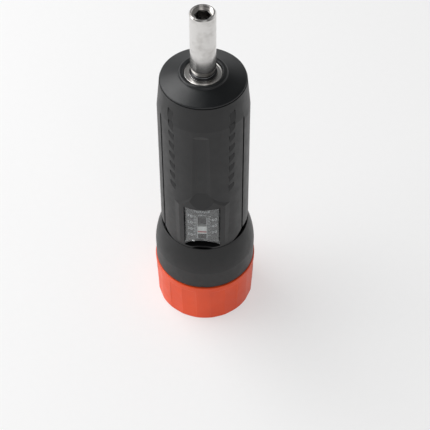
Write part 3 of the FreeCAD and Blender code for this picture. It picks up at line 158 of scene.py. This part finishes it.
def noise(tree: Tree, coords: Socket, size_mm: float, detail: float = 3.0,
          roughness: float = 0.55) -> Socket:
    """Noise whose features are size_mm across.

    Args:
        tree: node tree.
        coords: coordinates in metres.
        size_mm: size of the features.
        detail: octaves of finer noise.
        roughness: strength of the finer octaves.

    Returns:
        The noise value's socket.
    """
    node = add_node(tree, "ShaderNodeTexNoise", {
        "Vector": coords, "Scale": per_mm(size_mm), "Detail": detail, "Roughness": roughness})
    return node.outputs["Fac"]


def rounded_normal(tree: Tree, radius_mm: float) -> Socket:
    """Normal that turns softly over an edge.

    Args:
        tree: node tree.
        radius_mm: how far from an edge it reaches.

    Returns:
        The normal's socket.
    """
    rounded = add_node(tree, "ShaderNodeBevel", {"Radius": radius_mm * MM},
                       samples=BEVEL_SAMPLES)
    return rounded.outputs["Normal"]


def edge_share(tree: Tree, rounded: Socket, gain: float) -> Socket:
    """Finds edges by comparing the rounded normal with the true one.

    Args:
        tree: node tree.
        rounded: the rounded normal.
        gain: how soon a bend counts as an edge.

    Returns:
        Share from 0 on open faces to 1 at an edge.
    """
    plain = add_node(tree, "ShaderNodeNewGeometry").outputs["Normal"]
    dot = add_node(tree, "ShaderNodeVectorMath", {0: rounded, 1: plain},
                   operation="DOT_PRODUCT")
    bend = math_node(tree, "SUBTRACT", 1.0, dot.outputs["Value"])
    return math_node(tree, "MULTIPLY", bend, gain, clamp=True)


# ---------------------------------------------------------------- finishes


@dataclass(frozen=True)
class Finish:
    """What every finish shares: a name and a way to become a material."""

    name: str

    def shader(self, tree: Tree, coords: Socket) -> Socket:
        """Surface shader of this finish."""
        raise NotImplementedError

    def material(self) -> bpy.types.Material:
        """The finish as a node material on Object coordinates.

        Returns:
            The material, made once and found again by its name.
        """
        found = bpy.data.materials.get(self.name)
        if found is not None:
            return found
        made = bpy.data.materials.new(self.name)
        made.use_nodes = True
        tree = made.node_tree
        tree.nodes.clear()
        coords = add_node(tree, "ShaderNodeTexCoord").outputs["Object"]
        surface = self.shader(tree, coords)
        add_node(tree, "ShaderNodeOutputMaterial", {"Surface": surface})
        return made


@dataclass(frozen=True)
class MouldedPlastic(Finish):
    """Injection-moulded plastic: spark-eroded grain, slow colour drift and polished edges, painted
    paler for wear and as a painted highlight.
    """

    colour: str = "#101112"
    drift: str = "#17181A"
    # Paler colour on the edges: partly handling wear, partly a painted highlight.
    worn: str = "#3A3B3D"
    roughness: float = 0.42
    roughness_spread: float = 0.06
    grain_mm: float = 0.5
    grain_depth_mm: float = 0.012
    drift_mm: float = 14.0
    edge_mm: float = 0.25
    edge_wear: float = 0.5
    ior: float = 1.46
    subsurface: float = 0.0
    subsurface_mm: float = 1.5
    scuff_mm: float = 5.0
    scuff_least: float = 0.35
    grain_tint: float = 0.22
    edge_gain: float = 5.0
    edge_polish: float = 0.08

    def shader(self, tree: Tree, coords: Socket) -> Socket:
        """Colour drift, grain bump, and edges that handling has rubbed smoother, painted paler
        partly for wear and partly as a painted highlight.

        Args:
            tree: node tree.
            coords: Object coordinates.

        Returns:
            The shader's socket.
        """
        drift = noise(tree, coords, self.drift_mm, detail=2.0)
        grain = noise(tree, coords, self.grain_mm, detail=4.0, roughness=0.6)
        scuff = noise(tree, coords, self.scuff_mm, detail=5.0, roughness=0.7)
        rounded = rounded_normal(tree, self.edge_mm)
        edge = edge_share(tree, rounded, self.edge_gain)
        rubbed_edge_and_highlight = math_node(tree, "MULTIPLY", edge, spread(tree, scuff, self.scuff_least, 1.0),
                           clamp=True)
        colour = mix_colours(tree, spread(tree, drift, 0.0, 1.0), linear(self.colour),
                             linear(self.drift))
        colour = mix_colours(tree, spread(tree, grain, 0.0, self.grain_tint), colour,
                             linear(self.drift))
        # Edges painted paler: partly wear, partly a painted highlight.
        worn = math_node(tree, "MULTIPLY", rubbed_edge_and_highlight, self.edge_wear)
        colour = mix_colours(tree, worn, colour, linear(self.worn))
        uneven = math_node(tree, "ADD", spread(tree, scuff, -self.roughness_spread,
                                               self.roughness_spread), self.roughness)
        polish = math_node(tree, "MULTIPLY", rubbed_edge_and_highlight, self.edge_polish)
        matte = math_node(tree, "SUBTRACT", uneven, polish)
        bump = add_node(tree, "ShaderNodeBump", {
            "Height": grain, "Distance": self.grain_depth_mm * MM, "Strength": 1.0,
            "Normal": rounded})
        made = add_node(tree, "ShaderNodeBsdfPrincipled", {
            "Base Color": colour, "Roughness": matte, "Normal": bump.outputs["Normal"],
            "IOR": self.ior, "Subsurface Weight": self.subsurface,
            "Subsurface Scale": self.subsurface_mm * MM})
        return made.outputs["BSDF"]


class Hand(Enum):
    """Which way a thread winds."""

    NONE = 0
    RIGHT = 1
    LEFT = -1


@dataclass(frozen=True)
class TurnedMetal(Finish):
    """Metal from a lathe: fine rings round the tool's axis, on barrels and on end faces."""

    colour: str = "#C8C8C6"
    stain: str = "#A9A7A4"
    roughness: float = 0.24
    roughness_spread: float = 0.06
    ring_mm: float = 0.32
    ring_depth_mm: float = 0.004
    stain_mm: float = 6.0
    edge_mm: float = 0.12
    lead_mm: float = 0.0
    thread_depth_mm: float = 0.0
    hand: Hand = Hand.NONE
    stain_dull: float = 0.05

    def ring_height(self, tree: Tree, coords: Socket) -> Socket:
        """Height of the tool marks, a line of noise over height plus radius.

        Args:
            tree: node tree.
            coords: Object coordinates.

        Returns:
            The height's socket.
        """
        axes = add_node(tree, "ShaderNodeSeparateXYZ", {"Vector": coords})
        flat = add_node(tree, "ShaderNodeCombineXYZ", {
            "X": axes.outputs["X"], "Y": axes.outputs["Y"]})
        radius = add_node(tree, "ShaderNodeVectorMath", {0: flat.outputs["Vector"]},
                          operation="LENGTH").outputs["Value"]
        along = math_node(tree, "ADD", axes.outputs["Z"], radius)
        lines = add_node(tree, "ShaderNodeTexNoise", {
            "W": along, "Scale": per_mm(self.ring_mm), "Detail": 3.0, "Roughness": 0.7},
            noise_dimensions="1D")
        return lines.outputs["Fac"]

    def thread_height(self, tree: Tree, coords: Socket) -> Socket:
        """Height of a helical thread round the axis.

        Args:
            tree: node tree.
            coords: Object coordinates.

        Returns:
            The height's socket, from 0 in the root to 1 on the crest.
        """
        axes = add_node(tree, "ShaderNodeSeparateXYZ", {"Vector": coords})
        angle = math_node(tree, "ARCTAN2", axes.outputs["Y"], axes.outputs["X"])
        turns = math_node(tree, "MULTIPLY", angle, -self.hand.value / (2 * math.pi))
        steps = math_node(tree, "MULTIPLY", axes.outputs["Z"], per_mm(self.lead_mm))
        phase = math_node(tree, "FRACT", math_node(tree, "ADD", turns, steps))
        return math_node(tree, "PINGPONG", math_node(tree, "MULTIPLY", phase, 2.0), 1.0)

    def shader(self, tree: Tree, coords: Socket) -> Socket:
        """Bare metal with tool marks, faint handling stains and a broken edge.

        Args:
            tree: node tree.
            coords: Object coordinates.

        Returns:
            The shader's socket.
        """
        rings = self.ring_height(tree, coords)
        stain = noise(tree, coords, self.stain_mm, detail=4.0, roughness=0.65)
        colour = mix_colours(tree, spread(tree, stain, 0.0, 1.0, 0.42, 0.68),
                             linear(self.colour), linear(self.stain))
        uneven = math_node(tree, "ADD", spread(tree, rings, -self.roughness_spread,
                                               self.roughness_spread), self.roughness)
        dull = spread(tree, stain, 0.0, self.stain_dull, 0.45, 0.7)
        matte = math_node(tree, "ADD", uneven, dull)
        normal = add_node(tree, "ShaderNodeBump", {
            "Height": rings, "Distance": self.ring_depth_mm * MM,
            "Normal": rounded_normal(tree, self.edge_mm)})
        if self.hand is not Hand.NONE:
            normal = add_node(tree, "ShaderNodeBump", {
                "Height": self.thread_height(tree, coords),
                "Distance": self.thread_depth_mm * MM, "Normal": normal.outputs["Normal"]})
        made = add_node(tree, "ShaderNodeBsdfPrincipled", {
            "Base Color": colour, "Roughness": matte, "Metallic": 1.0,
            "Normal": normal.outputs["Normal"]})
        return made.outputs["BSDF"]


@dataclass(frozen=True)
class ClearPane(Finish):
    """Moulded polycarbonate window: clear, glossy, with faint rubbing marks."""

    tint: str = "#F4F6F6"
    lamp_tint: str = "#E6E8E8"
    roughness: float = 0.06
    ior: float = 1.5
    rub_mm: float = 1.2
    rub_share: tuple[float, float] = (0.6, 1.6)
    wave_mm: float = 6.0
    wave_depth_mm: float = 0.02

    def shader(self, tree: Tree, coords: Socket) -> Socket:
        """Clear glass that lets lamps reach the scale behind it.

        Args:
            tree: node tree.
            coords: Object coordinates.

        Returns:
            The shader's socket.
        """
        rub = noise(tree, coords, self.rub_mm, detail=5.0, roughness=0.7)
        least, most = self.rub_share
        matte = spread(tree, rub, self.roughness * least, self.roughness * most)
        wave = add_node(tree, "ShaderNodeBump", {
            "Height": noise(tree, coords, self.wave_mm, detail=1.0),
            "Distance": self.wave_depth_mm * MM})
        glass = add_node(tree, "ShaderNodeBsdfPrincipled", {
            "Base Color": linear(self.tint), "Roughness": matte, "IOR": self.ior,
            "Transmission Weight": 1.0, "Normal": wave.outputs["Normal"]})
        open_way = add_node(tree, "ShaderNodeBsdfTransparent", {
            "Color": linear(self.lamp_tint)})
        path = add_node(tree, "ShaderNodeLightPath")
        lamp = math_node(tree, "MAXIMUM", path.outputs["Is Shadow Ray"],
                         path.outputs["Is Diffuse Ray"])
        both = add_node(tree, "ShaderNodeMixShader", {
            0: lamp, 1: glass.outputs["BSDF"], 2: open_way.outputs["BSDF"]})
        return both.outputs["Shader"]


@dataclass(frozen=True)
class StudioPaper(Finish):
    """White sweep that glows a little to the eye and in mirrors, and still takes a shadow."""

    colour: str = "#F2F2F2"
    fibre_colour: str = "#EEEEEE"
    fibre_mm: float = 4.0
    fibre_share: float = 0.4
    glow_share: float = 0.5

    def shader(self, tree: Tree, coords: Socket) -> Socket:
        """Matt paper mixed with plain white for camera, mirror and glass rays.

        Args:
            tree: node tree.
            coords: Object coordinates.

        Returns:
            The shader's socket.
        """
        fibre = noise(tree, coords, self.fibre_mm)
        colour = mix_colours(tree, spread(tree, fibre, 0.0, self.fibre_share),
                             linear(self.colour), linear(self.fibre_colour))
        paper = add_node(tree, "ShaderNodeBsdfDiffuse", {"Color": colour})
        glow = add_node(tree, "ShaderNodeEmission", {"Color": WHITE, "Strength": 1.0})
        path = add_node(tree, "ShaderNodeLightPath")
        seen = math_node(tree, "MAXIMUM", path.outputs["Is Camera Ray"], math_node(
            tree, "MAXIMUM", path.outputs["Is Glossy Ray"],
            path.outputs["Is Transmission Ray"]))
        share = math_node(tree, "MULTIPLY", seen, self.glow_share)
        both = add_node(tree, "ShaderNodeMixShader", {
            0: share, 1: paper.outputs["BSDF"], 2: glow.outputs["Emission"]})
        return both.outputs["Shader"]


# Glass-filled nylon, spark-eroded grey-black: a soft sheen that rises at the barrel's sides. Its
# edges are painted grey, partly wear and partly a painted highlight.
HANDLE_NYLON = MouldedPlastic("handle_glass_filled_nylon", "#0B0B0C", "#131314", "#2C2D2F",
                              roughness=0.44, grain_mm=0.45, grain_depth_mm=0.014)
# The same nylon from a finer mould: smoother, so the shoulder shows broader, softer light.
COLLAR_NYLON = MouldedPlastic("collar_fine_nylon", "#0C0C0D", "#121213", "#26272A",
                              roughness=0.46, grain_mm=0.4, grain_depth_mm=0.01)
# ABS from a polished mould, faintly blue: mirrors the lamp as a cool patch. Its edges are painted
# pale blue-grey, partly wear and partly a painted highlight.
NOSE_ABS = MouldedPlastic("nose_blue_black_abs", "#0C0E10", "#111416", "#3E4448",
                          roughness=0.33, grain_mm=0.6, grain_depth_mm=0.005, edge_mm=0.2)
# ABS in signal orange, satin mould: light sinks in a little, which keeps its shade warm. Its edges
# are painted pale orange, partly wear and partly a painted highlight.
KNOB_ABS = MouldedPlastic("knob_orange_abs", "#E2490F", "#D9430D", "#FF7A45",
                          roughness=0.43, grain_mm=0.5, grain_depth_mm=0.01, edge_mm=0.35,
                          edge_wear=0.8, subsurface=0.03)
# Machined black acetal: duller than the mouldings round it.
NUT_PLASTIC = MouldedPlastic("nut_black_acetal", "#101011", "#161617", "#2A2A2C",
                             roughness=0.5)
# Natural acetal, punched from sheet: milky and waxy.
THRUST_ACETAL = MouldedPlastic("thrust_natural_acetal", "#DAD9D2", "#D0CFC6", "#E6E5E0",
                               roughness=0.4, edge_wear=0.2)
# White ABS from a smooth mould: the brightest patch in the window.
POINTER_WHITE = MouldedPlastic("pointer_white_abs", "#E9E9E7", "#DFDFDC", "#F2F2F2",
                               roughness=0.35, grain_depth_mm=0.004, edge_wear=0.2)
# Paint in the pointer's groove: a deep, slightly cool red.
POINTER_RED = MouldedPlastic("pointer_red_paint", "#A61726", "#981522", "#C22233",
                             roughness=0.35, grain_depth_mm=0.004, edge_wear=0.2)
# Moulded nitrile rubber: almost no sheen.
RING_RUBBER = MouldedPlastic("ring_nitrile_rubber", "#0D0D0E", "#141415", "#1C1C1D",
                             roughness=0.62)
# Matt-anodised label stock, printed: dark with a satin sheen, and a pale painted sheen along its
# edges.
SCALE_STOCK = MouldedPlastic("scale_satin_label_stock", "#1B1C1E", "#242527", "#85878A",
                             roughness=0.3, grain_mm=0.35, grain_depth_mm=0.006, edge_mm=0.3,
                             edge_wear=1.0)
# Screen-printed ink: flat white, a little uneven.
SCALE_INK = MouldedPlastic("scale_white_ink", "#E4E5E6", "#C9CACC", "#E4E5E6",
                           roughness=0.5, grain_mm=0.3, grain_depth_mm=0.002, edge_wear=0.0)
# Polycarbonate from a polished mould: clear and glossy, faintly rubbed.
WINDOW_PANE = ClearPane("window_clear_polycarbonate")
# Turned stainless, left bright: fine rings that stretch what it mirrors.
HOLDER_STAINLESS = TurnedMetal("holder_turned_stainless", "#D8D6D4", "#C2BFBC",
                               roughness=0.2, roughness_spread=0.05, ring_mm=0.3,
                               ring_depth_mm=0.003)
# Bearing steel, ground and honed: rings of light on the race's end face.
RACE_CHROME = TurnedMetal("race_ground_bearing_steel", "#DDDCDA", "#CFCDCA",
                          roughness=0.2, roughness_spread=0.05, ring_mm=0.35,
                          ring_depth_mm=0.004)
# Pressed tinplate: greyer and duller than the races beside it.
SHIELD_TIN = TurnedMetal("shield_pressed_tinplate", "#B4B3B1", "#A3A19E",
                         roughness=0.3, roughness_spread=0.06, ring_mm=0.5, ring_depth_mm=0.006)
# Lapped bearing balls: near mirrors, with no tool marks at all.
BALL_STEEL = TurnedMetal("ball_polished_steel", "#E0E0E0", "#D4D4D4",
                         roughness=0.1, roughness_spread=0.02, ring_mm=0.6, ring_depth_mm=0.0)
# Spring steel left in its oil-black scale: a dark line round the shaft.
CLIP_STEEL = TurnedMetal("clip_oiled_spring_steel", "#4A4A4C", "#3A3A3B",
                         roughness=0.3, roughness_spread=0.06)
# Drawn wire, hardened in oil: dark grey, faintly streaked.
SPRING_STEEL = TurnedMetal("spring_oil_hardened_wire", "#55565A", "#3E3E42",
                           roughness=0.32, roughness_spread=0.08, ring_mm=0.5)
# Zinc on stamped steel: pale and faintly blue.
ZINC_STEEL = TurnedMetal("zinc_plated_steel", "#BDC2C6", "#A9AFB4",
                         roughness=0.28, roughness_spread=0.06, ring_mm=0.6)
# Hardened tool steel, ground: fine marks, mid-grey.
GROUND_STEEL = TurnedMetal("ground_tool_steel", "#A5A6A8", "#8E8F90",
                           roughness=0.3, roughness_spread=0.08, ring_mm=0.4,
                           ring_depth_mm=0.005)
# Rolled thread, left hand: its flanks show as slanted bands of light.
SCREW_STEEL = TurnedMetal("rolled_lead_screw_steel", "#A9AAAC", "#8E8F90",
                          roughness=0.28, roughness_spread=0.07, ring_mm=0.4,
                          ring_depth_mm=0.004, lead_mm=3.0, thread_depth_mm=0.9, hand=Hand.LEFT)
# Pressed bronze powder, soaked with oil: dull brown-gold.
BUSH_BRONZE = TurnedMetal("bush_sintered_bronze", "#A8814A", "#8C6A3A",
                          roughness=0.42, roughness_spread=0.08, ring_mm=0.5)
# Nickel plate: warm grey and smooth.
MAGNET_NICKEL = TurnedMetal("magnet_nickel_plate", "#B6B5B0", "#A5A39E",
                            roughness=0.22, roughness_spread=0.05, ring_mm=0.8)
# Uncoated white paper: matt, and it takes the soft shadow.
SWEEP = StudioPaper("studio_white_paper")

NODE_FINISH: dict[str, Finish] = {
    "knob": KNOB_ABS, "knob_cap": COLLAR_NYLON, "knob_screw": ZINC_STEEL,
    "knob_washer": ZINC_STEEL, "friction_ring": RING_RUBBER, "adjusting_screw": SCREW_STEEL,
    "collar": COLLAR_NYLON, "collar_screws": ZINC_STEEL, "screw_bush": BUSH_BRONZE,
    "thrust_washer": THRUST_ACETAL, "handle": HANDLE_NYLON, "adjusting_nut": NUT_PLASTIC,
    "indicator_block": POINTER_WHITE, "indicator_line": POINTER_RED,
    "lower_spring_seat": ZINC_STEEL, "main_spring": SPRING_STEEL,
    "upper_spring_seat": ZINC_STEEL, "clutch_cam": GROUND_STEEL,
    "output_spindle": GROUND_STEEL, "spindle_bush": BUSH_BRONZE,
    "bearing_spacer": GROUND_STEEL, "bearing_outer_race": RACE_CHROME,
    "bearing_inner_race": RACE_CHROME, "bearing_balls": BALL_STEEL,
    "bearing_cage": BUSH_BRONZE, "bearing_shield": SHIELD_TIN, "spindle_circlip": CLIP_STEEL,
    "nose_cap": NOSE_ABS, "scale_plate": SCALE_STOCK, "window_lens": WINDOW_PANE,
    "bit_holder": HOLDER_STAINLESS, "holder_magnet": MAGNET_NICKEL,
    "bit_retaining_ring": CLIP_STEEL,
}


def dress_solids(nodes: dict[str, bpy.types.Object]) -> None:
    """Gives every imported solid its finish, in all of its material slots.

    Args:
        nodes: the frame's objects by node name.
    """
    for name, item in nodes.items():
        made = NODE_FINISH[name].material()
        if not item.material_slots:
            item.data.materials.append(made)
        for place in item.material_slots:
            place.material = made
        LOG.info("dressed %s in %s", name, made.name)


# ---------------------------------------------------------------- modelling helpers


def deselect() -> None:
    """Leaves nothing selected, so that an operator acts on the new piece alone."""
    if bpy.context.object is not None and bpy.context.object.mode != "OBJECT":
        bpy.ops.object.mode_set(mode="OBJECT")
    bpy.ops.object.select_all(action="DESELECT")


def join(name: str, items: Sequence[bpy.types.Object]) -> bpy.types.Object:
    """Joins meshes into one named object at the origin.

    Args:
        name: name of the joined piece.
        items: the meshes.

    Returns:
        The joined object.
    """
    deselect()
    for item in items:
        item.select_set(True)
    bpy.context.view_layer.objects.active = items[0]
    if len(items) > 1:
        bpy.ops.object.join()
    bpy.ops.object.transform_apply(location=True, rotation=True, scale=True)
    made = bpy.context.object
    made.name = name
    made.data.name = name
    return made


def wrap_on_barrel(piece: bpy.types.Object, radius: float) -> None:
    """Lays a flat piece on the front of a barrel round the Z axis.

    Args:
        piece: mesh with X across, Y up and Z out of the surface, in metres.
        radius: the barrel's radius, in metres.
    """
    for vertex in piece.data.vertices:
        across, up, out = vertex.co
        angle = across / radius
        reach = radius + out
        vertex.co = (reach * math.sin(angle), -reach * math.cos(angle), up)


# ---------------------------------------------------------------- printed scale


@dataclass
class ScalePrint:
    """White print on the scale plate: ticks, numbers, the slot's outline and the unit."""

    plate_radius: float = 20.0 * MM
    ink_lift: float = 0.015 * MM
    ink_thickness: float = 0.03 * MM
    low_level: float = 64.4 * MM
    unit_travel: float = 0.235 * MM
    low: int = 10
    high: int = 70
    tick_step: int = 5
    tick_inner: float = 2.75 * MM
    tick_outer: float = 4.15 * MM
    tick_width: float = 0.3 * MM
    short_tick_cut: float = 0.4 * MM
    left_numbers: tuple[int, ...] = (10, 30, 50, 70)
    right_numbers: tuple[int, ...] = (20, 40, 60)
    number_reach: float = 5.75 * MM
    number_drop: float = 0.45 * MM
    number_size: float = 2.5 * MM
    slot_half: float = 2.1 * MM
    slot_foot: float = 62.0 * MM
    slot_top: float = 78.1 * MM
    frame_width: float = 0.3 * MM
    frame_gap: float = 0.05 * MM
    corner_share: float = 0.3
    letter_spacing: float = 1.12
    letter_weight: float = 0.012
    letter_steps: int = 4
    weld_distance: float = 0.001 * MM
    title: tuple[tuple[str, float, float], ...] = (("TORQUE", 82.0, 1.75), ("cN·m", 79.6, 1.5))
    pieces: list[bpy.types.Object] = field(default_factory=list)

    def level(self, reading: float) -> float:
        """Height of a reading on the plate."""
        return self.low_level + (reading - self.low) * self.unit_travel

    def stroke(self, across: tuple[float, float], up: tuple[float, float]) -> bpy.types.Object:
        """One printed stroke, a thin raised rectangle with softened corners.

        Args:
            across: its two ends across the plate.
            up: its foot and top.

        Returns:
            The stroke, still flat.
        """
        deselect()
        bpy.ops.mesh.primitive_plane_add(size=1.0)
        item = bpy.context.object
        item.scale = (across[1] - across[0], up[1] - up[0], 1)
        item.location = ((across[0] + across[1]) / 2, (up[0] + up[1]) / 2, 0)
        bpy.ops.object.transform_apply(location=True, rotation=True, scale=True)
        bpy.ops.object.mode_set(mode="EDIT")
        bpy.ops.mesh.select_all(action="SELECT")
        soft = min(across[1] - across[0], up[1] - up[0]) * self.corner_share
        bpy.ops.mesh.bevel(offset=soft, offset_type="OFFSET", segments=2, affect="VERTICES")
        bpy.ops.mesh.select_all(action="SELECT")
        bpy.ops.mesh.extrude_region_move(
            TRANSFORM_OT_translate={"value": (0, 0, self.ink_thickness)})
        bpy.ops.mesh.select_all(action="SELECT")
        bpy.ops.mesh.normals_make_consistent(inside=False)
        bpy.ops.object.mode_set(mode="OBJECT")
        return item

    def words(self, text: str, across: float, up: float, size: float) -> bpy.types.Object:
        """Printed characters, centred.

        Args:
            text: the characters.
            across: centre across the plate.
            up: centre height.
            size: letter size.

        Returns:
            The characters as a flat mesh.
        """
        deselect()
        bpy.ops.object.text_add()
        item = bpy.context.object
        item.data.body = text
        item.data.size = size
        item.data.space_character = self.letter_spacing
        item.data.offset = size * self.letter_weight
        item.data.resolution_u = self.letter_steps
        item.data.align_x = "CENTER"
        item.data.align_y = "CENTER"
        item.data.extrude = self.ink_thickness / 2
        bpy.ops.object.convert(target="MESH")
        item = bpy.context.object
        item.location = (across, up, self.ink_thickness / 2)
        bpy.ops.object.transform_apply(location=True, rotation=True, scale=True)
        bpy.ops.object.mode_set(mode="EDIT")
        bpy.ops.mesh.select_all(action="SELECT")
        bpy.ops.mesh.remove_doubles(threshold=self.weld_distance)
        bpy.ops.mesh.normals_make_consistent(inside=False)
        bpy.ops.object.mode_set(mode="OBJECT")
        return item

    def build(self) -> list[bpy.types.Object]:
        """Prints the whole scale.

        Returns:
            The finished pieces.
        """
        ticks = []
        half = self.tick_width / 2
        for reading in range(self.low, self.high + 1, self.tick_step):
            level = self.level(reading)
            long_tick = reading % (2 * self.tick_step) == 0
            reach = self.tick_outer if long_tick else self.tick_outer - self.short_tick_cut
            for ends in ((-reach, -self.tick_inner), (self.tick_inner, reach)):
                ticks.append(self.stroke(ends, (level - half, level + half)))
        outer = self.slot_half + self.frame_width
        for side in (-1, 1):
            ends = sorted((side * (self.slot_half + self.frame_gap), side * outer))
            ticks.append(self.stroke((ends[0], ends[1]), (self.slot_foot, self.slot_top)))
        numbers = []
        for side, readings in ((-1, self.left_numbers), (1, self.right_numbers)):
            for reading in readings:
                numbers.append(self.words(str(reading), side * self.number_reach,
                                          self.level(reading) - self.number_drop,
                                          self.number_size))
        heading = [self.words(text, 0.0, up * MM, size * MM) for text, up, size in self.title]
        made = (join("scale_ticks", ticks), join("scale_numbers", numbers),
                join("scale_heading", heading))
        for item in made:
            wrap_on_barrel(item, self.plate_radius + self.ink_lift)
            item.data.materials.clear()
            item.data.materials.append(SCALE_INK.material())
            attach(item, "handle")
            self.pieces.append(item)
            LOG.info("printed %s", item.name)
        return self.pieces


# ---------------------------------------------------------------- studio


@dataclass(frozen=True)
class Softbox:
    """One square lamp: where it hangs, its side in metres and its watts."""

    name: str
    place: tuple[float, float, float]
    side: float
    power: float


@dataclass
class Studio:
    """Camera, paper sweep, softboxes and room light."""

    camera_place: tuple[float, float, float] = (24.8 * MM, -374.7 * MM, 509.8 * MM)
    camera_tilt: float = 39.54
    camera_pan: float = 3.0
    lens_mm: float = 98.15
    sensor_mm: float = 36.0
    clip_start: float = 0.01
    floor_size: float = 8.0
    room_low: float = 0.9
    room_high: float = 0.16
    wall_top: float = 0.3
    ceiling_start: float = 0.62
    aim: tuple[float, float, float] = (0.0, 0.0, 0.1)
    softboxes: tuple[Softbox, ...] = (
        Softbox("key_softbox", (-0.62, 0.30, 0.92), 0.85, 9.0),
        Softbox("left_softbox", (-0.9, -0.25, 0.35), 0.6, 3.0),
        Softbox("front_fill", (0.35, -1.1, 0.9), 0.8, 2.0),
    )

    def camera(self) -> None:
        """Puts the camera at its place and makes it the scene's own."""
        lens = bpy.data.cameras.new("studio_camera")
        lens.lens = self.lens_mm
        lens.sensor_width = self.sensor_mm
        lens.clip_start = self.clip_start
        holder = bpy.data.objects.new("studio_camera", lens)
        bpy.context.scene.collection.objects.link(holder)
        turn = (Matrix.Rotation(math.radians(self.camera_pan), 4, "Z")
                @ Matrix.Rotation(math.radians(self.camera_tilt), 4, "X"))
        holder.matrix_world = Matrix.Translation(Vector(self.camera_place)) @ turn
        bpy.context.scene.camera = holder

    def paper(self) -> None:
        """Plain white floor."""
        deselect()
        bpy.ops.mesh.primitive_plane_add(size=self.floor_size)
        floor = bpy.context.object
        floor.name = "studio_floor"
        bpy.ops.object.transform_apply(location=True, rotation=True, scale=True)
        floor.data.materials.append(SWEEP.material())

    def hang(self, softbox: Softbox) -> None:
        """Hangs one lamp and turns it to the tool.

        Args:
            softbox: the lamp.
        """
        lamp = bpy.data.lights.new(softbox.name, "AREA")
        lamp.shape = "SQUARE"
        lamp.size = softbox.side
        lamp.energy = softbox.power
        item = bpy.data.objects.new(softbox.name, lamp)
        bpy.context.scene.collection.objects.link(item)
        item.location = softbox.place
        way = Vector(self.aim) - Vector(softbox.place)
        item.rotation_euler = way.to_track_quat("-Z", "Y").to_euler()

    def room(self) -> None:
        """Room light: bright low walls all round and a dim ceiling."""
        world = bpy.data.worlds.new("studio_room")
        bpy.context.scene.world = world
        world.use_nodes = True
        tree = world.node_tree
        tree.nodes.clear()
        way = add_node(tree, "ShaderNodeTexCoord").outputs["Generated"]
        height = add_node(tree, "ShaderNodeSeparateXYZ", {"Vector": way}).outputs["Z"]
        level = spread(tree, height, self.room_low, self.room_high, self.wall_top,
                       self.ceiling_start)
        path = add_node(tree, "ShaderNodeLightPath")
        strength = math_node(tree, "MAXIMUM", level, path.outputs["Is Camera Ray"])
        glow = add_node(tree, "ShaderNodeBackground", {"Color": WHITE, "Strength": strength})
        add_node(tree, "ShaderNodeOutputWorld", {"Surface": glow.outputs["Background"]})

    def build(self) -> None:
        """Sets up the whole studio."""
        scene = bpy.context.scene
        scene.view_settings.view_transform = "Standard"
        self.camera()
        self.paper()
        self.room()
        for softbox in self.softboxes:
            self.hang(softbox)


def main() -> None:
    """Loads the frame, dresses it, prints the scale and sets the studio."""
    logging.basicConfig(level=logging.INFO, format="%(name)s: %(message)s")
    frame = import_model()
    dress_solids(frame["nodes"])
    ScalePrint().build()
    Studio().build()


if __name__ == "__main__":
    main()
